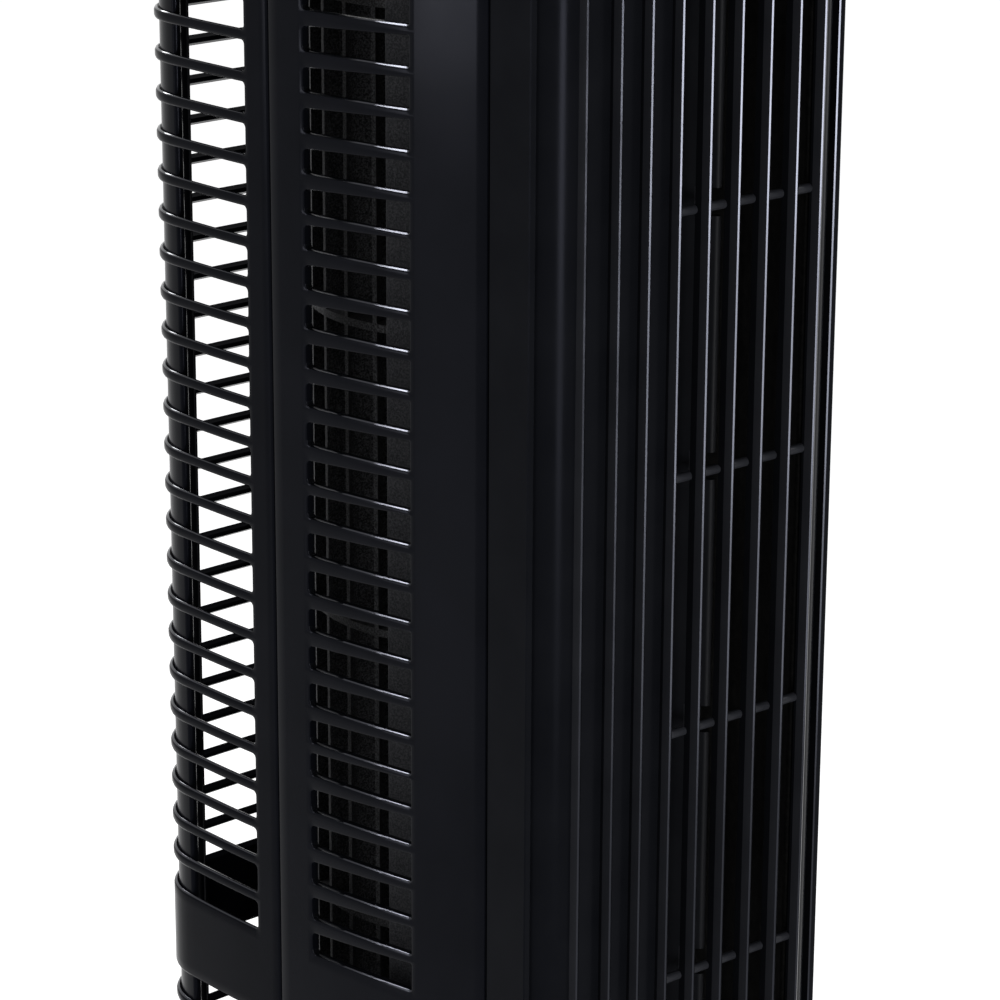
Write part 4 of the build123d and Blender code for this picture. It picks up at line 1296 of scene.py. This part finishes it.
    def _fin(self, shell: Shell, x: float, span: Flat, width: Flat, accents: Mapping[int, Accent]) -> None:
        """Adds one upright fin that thins to a nose between two narrow edges.

        Args:
            shell: What gathers the faces.
            x: Its middle.
            span: Y of its tip and of its root.
            width: Its thickness at the nose and at the root.
            accents: Number of a face round the fin to its finish, from the left root on.
        """
        tip, back = span
        nose, root = width
        across, back_by = self.fin_nose
        waist = nose + (root - nose) * self.flank_depth / (back - tip)
        half: list[Flat] = [
            (root / 2, back), (waist / 2, tip + self.flank_depth),
            (nose / 2, tip + back_by), (nose / 2 - across, tip),
        ]
        ring = [(x - out, y) for out, y in half] + [(x + out, y) for out, y in reversed(half)]
        ends = (self.levels.bottom + self.fin_end_gap, self.levels.top - self.fin_end_gap)
        shell.loft([[(px, py, z) for px, py in ring] for z in ends], caps=True, accents=accents)

    def _rod(self, shell: Shell, height: float) -> None:
        """Adds one cross rod behind the fins.

        Args:
            shell: What gathers the faces.
            height: Height of its middle.
        """
        y = self.section.front_y + self.fin_depth + self.rod_behind_fins
        radius = self.rod_diameter / 2
        turns = [2 * math.pi * index / self.rod_sides for index in range(self.rod_sides)]
        rings = []
        for fin, out in zip(self.outlet_fins, (-1, 1)):
            x = fin * self.fin_pitch + out * self.fin_thickness / 2
            rings.append([
                (x, y + radius * math.cos(turn), height + radius * math.sin(turn)) for turn in turns
            ])
        # The rods get the paler satin finish: painted light, as they lie in shade behind the fins.
        shell.loft(rings, caps=True, accents={face: Accent.SATIN for face in range(len(turns))})


@dataclass
class AirPath(SolidGroup):
    """The drum and the two guides that turn its air to the front."""

    lip_gap: float = 4.0
    lip_thickness: float = 2.4
    lip_start: float = -147.0
    lip_end: float = -156.5
    lip_end_gap: float = 0.2
    lip_steps: int = 8
    nodes: Mapping[str, Finish] = field(default_factory=lambda: {
        "impeller": DRUM_BLACK, "outlet_tongue": GUIDE_GREY, "scroll_guide": INNER_BLACK,
        "motor_deck": INNER_BLACK, "bearing_deck": INNER_BLACK, "impeller_pin": BRIGHT_STEEL,
        "hub_screw": ZINC_STEEL, "bearing_rubber": RUBBER_BLACK, "bearing_bush": SINTERED_BRONZE,
    })

    def build(self) -> None:
        """Dresses the drum, guides, decks and bearing, and carries the tongue's lip on."""
        super().build()
        self._lip()

    def _lip(self) -> None:
        """Carries the tongue's lip further round the drum, to the dusty end that the slots show."""
        drum_low, drum_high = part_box("impeller")
        bottom, top = (corner[2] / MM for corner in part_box("outlet_tongue"))
        axis_y = (drum_low[1] + drum_high[1]) / 2 / MM
        half = self.lip_thickness / 2
        middle = (drum_high[0] - drum_low[0]) / 2 / MM + self.lip_gap + half
        start, end = math.radians(self.lip_start), math.radians(self.lip_end)
        steps = self.lip_steps
        turns = [start + (end - start) * index / steps for index in range(steps + 1)]
        outer = [(middle + half, turn) for turn in turns]
        inner = [(middle - half, turn) for turn in reversed(turns)]
        nose = [math.pi * (0.5 - index / steps) for index in range(1, steps)]
        tip = [(middle + half * math.sin(lean), end - half * math.cos(lean) / middle) for lean in nose]
        ring = [
            (radius * math.cos(turn), axis_y + radius * math.sin(turn))
            for radius, turn in (*outer, *tip, *inner)
        ]
        shell = Shell()
        ends = (bottom + self.lip_end_gap, top - self.lip_end_gap)
        shell.loft([[(x, y, z) for x, y in ring] for z in ends], caps=True)
        shell.make("tongue_lip", Body.TOWER, GUIDE_DUSTY)


@dataclass
class DriveMotor(SolidGroup):
    """The motor under the drum."""

    nodes: Mapping[str, Finish] = field(default_factory=lambda: {
        "motor_bell_lower": CAST_ALUMINIUM, "motor_bell_upper": CAST_ALUMINIUM, "motor_stack": STACKED_STEEL,
        "motor_rotor": STACKED_STEEL, "motor_shaft": BRIGHT_STEEL, "motor_bushes": SINTERED_BRONZE,
        "motor_bolts": ZINC_STEEL,
    })


@dataclass
class Head(SolidGroup):
    """The cap with its control panel, buttons and board."""

    nodes: Mapping[str, Finish] = field(default_factory=lambda: {
        "top_cap": GLOSS_BLACK, "control_panel": PANEL_BLACK, "indicator_lens": LENS_SMOKE,
        "control_board": BOARD_GREEN, "power_button": BUTTON_GREY, "speed_button": BUTTON_GREY,
        "timer_button": BUTTON_GREY, "swing_button": BUTTON_GREY,
    })
    eased_mm: Mapping[str, float] = field(default_factory=lambda: {"top_cap": 0.5, "control_panel": 0.3})


@dataclass
class Foot(SolidGroup):
    """The tower's foot with the swing drive, the cord outlet and the guard's screws."""

    nodes: Mapping[str, Finish] = field(default_factory=lambda: {
        "tower_foot": GLOSS_BLACK, "cord_gland": RUBBER_BLACK, "guard_screws": ZINC_STEEL,
        "swing_motor": ZINC_STEEL, "swing_pinion": NYLON_MILKY,
    })
    eased_mm: Mapping[str, float] = field(default_factory=lambda: {"tower_foot": 0.5})


@dataclass
class Base(SolidGroup):
    """The round base with its weight, feet, swivel post and gear."""

    nodes: Mapping[str, Finish] = field(default_factory=lambda: {
        "base_shell": GLOSS_BLACK, "base_plate": INNER_BLACK, "base_screws": ZINC_STEEL,
        "rubber_feet": RUBBER_BLACK, "ballast_ring": CAST_IRON, "swivel_post": NYLON_MILKY,
        "thrust_washer": NYLON_MILKY, "swivel_retainer": ZINC_STEEL, "sector_gear": NYLON_MILKY,
    })


@dataclass(frozen=True)
class Softbox:
    """A soft rectangular lamp that the camera doesn't see.

    Its glow says how many times brighter than white paper its face is, its roll turns it about its aim.
    """

    name: str
    place: Point
    aim: Point
    size: Flat
    glow: float
    roll: float = 0.0

    def build(self) -> None:
        """Hangs the lamp."""
        light = bpy.data.lights.new(self.name, "AREA")
        light.shape = "RECTANGLE"
        light.size, light.size_y = self.size[0] * MM, self.size[1] * MM
        light.energy = self.glow * math.pi * light.size * light.size_y
        lamp = bpy.data.objects.new(self.name, light)
        bpy.context.scene.collection.objects.link(lamp)
        lamp.visible_camera = False
        place = Vector(self.place)
        lamp.location = place * MM
        turned = Quaternion((0.0, 0.0, 1.0), math.radians(self.roll))
        lamp.rotation_euler = ((Vector(self.aim) - place).to_track_quat("-Z", "Y") @ turned).to_euler()


@dataclass
class Studio:
    """The pale floor, the soft light and the camera at the photograph's viewpoint."""

    floor_size: float = 14000.0
    floor_colour: str = "#f0f0f0"
    floor_roughness: float = 0.9
    floor_specular: float = 0.1
    floor_glow: float = 0.6
    sky_colour: str = "#ffffff"
    sky_light: float = 0.5
    softboxes: tuple[Softbox, ...] = (
        # One tall light in front, weaker towards the floor: the bright lines on the fins' edges.
        Softbox("key_high", (-199.0, -883.0, 535.0), (0.0, -76.7, 535.0), (160.0, 210.0), 30.0),
        Softbox("key_middle", (-199.0, -883.0, 365.0), (0.0, -76.7, 365.0), (160.0, 130.0), 13.0),
        Softbox("key_low", (-199.0, -883.0, 240.0), (0.0, -76.7, 240.0), (160.0, 120.0), 4.0),
        # What the side panel mirrors: its sheen, bright above and faint below.
        Softbox("sheen_high", (-945.0, 405.0, 690.0), (-54.0, -40.0, 690.0), (170.0, 420.0), 9.0),
        Softbox("sheen_low", (-945.0, 405.0, 290.0), (-54.0, -40.0, 290.0), (170.0, 380.0), 0.8),
        # What the slots' sills and the hoops' upper edges mirror: their glints.
        Softbox("rim_strip", (-868.0, 790.0, 1494.0), (-56.0, -29.0, 560.0), (70.0, 580.0), 45.0, 38.2),
        Softbox("hoop_strip", (250.0, 1290.0, 1335.0), (-62.0, 60.0, 560.0), (420.0, 160.0), 15.0),
        Softbox("fill_softbox", (920.0, -816.0, 1520.0), (-62.0, 0.0, 560.0), (260.0, 260.0), 22.0),
    )
    camera_place: Point = (-583.2, -694.3, 820.8)
    heading: float = -40.0
    pitch: float = 17.324
    roll: float = 0.282
    lens: float = 131.35
    sensor_width: float = 36.0
    clip_range: Flat = (10.0, 50000.0)

    def build(self) -> None:
        """Sets up the floor, the light and the camera."""
        bpy.context.scene.view_settings.view_transform = "Standard"
        self._sky()
        self._floor()
        for softbox in self.softboxes:
            softbox.build()
        self._camera()

    def _shown(self, tree: Tree) -> Socket:
        """Tells what the camera sees, also in mirrors, from what only lights the object.

        Args:
            tree: The node tree that gets the nodes.

        Returns:
            1 for camera, glossy and transmitted rays and 0 for the light on the object.
        """
        rays = add_node(tree, "ShaderNodeLightPath", {}).outputs
        seen = rays["Is Camera Ray"]
        for kind in ("Is Glossy Ray", "Is Transmission Ray"):
            seen = add_node(tree, "ShaderNodeMath", {0: seen, 1: rays[kind]}, operation="MAXIMUM").outputs[0]
        return seen

    def _sky(self) -> None:
        """A white surround that shows as white and lights the object at a plain level."""
        world = bpy.data.worlds.new("studio")
        bpy.context.scene.world = world
        world.use_nodes = True
        tree = world.node_tree
        tree.nodes.clear()
        strength = add_node(
            tree, "ShaderNodeMapRange", {"Value": self._shown(tree), "To Min": self.sky_light},
        ).outputs["Result"]
        sky = add_node(tree, "ShaderNodeBackground", {"Color": linear(self.sky_colour), "Strength": strength})
        output = tree.nodes.new("ShaderNodeOutputWorld")
        tree.links.new(sky.outputs["Background"], output.inputs["Surface"])

    def _floor(self) -> None:
        """A pale matt floor that keeps the fan's shadow."""
        half = self.floor_size / 2
        mesh = bpy.data.meshes.new("floor")
        corners = [(-half, -half), (half, -half), (half, half), (-half, half)]
        mesh.from_pydata([(x * MM, y * MM, 0.0) for x, y in corners], [], [(0, 1, 2, 3)])
        floor = bpy.data.objects.new("floor", mesh)
        bpy.context.scene.collection.objects.link(floor)
        material, tree, output = new_material("floor_matt_paper")
        glow = add_node(
            tree, "ShaderNodeMath", {0: self._shown(tree), 1: self.floor_glow}, operation="MULTIPLY",
        ).outputs[0]
        shader = add_node(
            tree, "ShaderNodeBsdfPrincipled",
            {
                "Base Color": linear(self.floor_colour), "Roughness": self.floor_roughness,
                "Specular IOR Level": self.floor_specular,
                "Emission Color": linear(self.sky_colour), "Emission Strength": glow,
            },
        )
        tree.links.new(shader.outputs["BSDF"], output.inputs["Surface"])
        mesh.materials.append(material)

    def _camera(self) -> None:
        """Puts the camera where the photograph was taken."""
        turn, dip, tilt = (math.radians(value) for value in (self.heading, self.pitch, self.roll))
        forward = Vector((-math.sin(turn) * math.cos(dip), math.cos(turn) * math.cos(dip), -math.sin(dip)))
        level = Vector((math.cos(turn), math.sin(turn), 0.0))
        upright = level.cross(forward)
        right = level * math.cos(tilt) + upright * math.sin(tilt)
        up = upright * math.cos(tilt) - level * math.sin(tilt)
        data = bpy.data.cameras.new("photograph")
        data.lens = self.lens
        data.sensor_width = self.sensor_width
        data.clip_start, data.clip_end = (reach * MM for reach in self.clip_range)
        camera = bpy.data.objects.new("photograph", data)
        bpy.context.scene.collection.objects.link(camera)
        matrix = Matrix((right, up, -forward)).transposed().to_4x4()
        matrix.translation = Vector(self.camera_place) * MM
        camera.matrix_world = matrix
        bpy.context.scene.camera = camera


def main() -> None:
    """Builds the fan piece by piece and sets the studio."""
    logging.basicConfig(level=logging.INFO, format="%(name)s %(message)s")
    section, levels = TowerSection(), TowerLevels()
    for group in (
        SidePanels(section, levels), RearGuard(section, levels), FrontGrille(section, levels),
        AirPath(), DriveMotor(), Head(), Foot(), Base(), Studio(),
    ):
        LOG.info("%s", type(group).__name__)
        group.build()


if __name__ == "__main__":
    main()
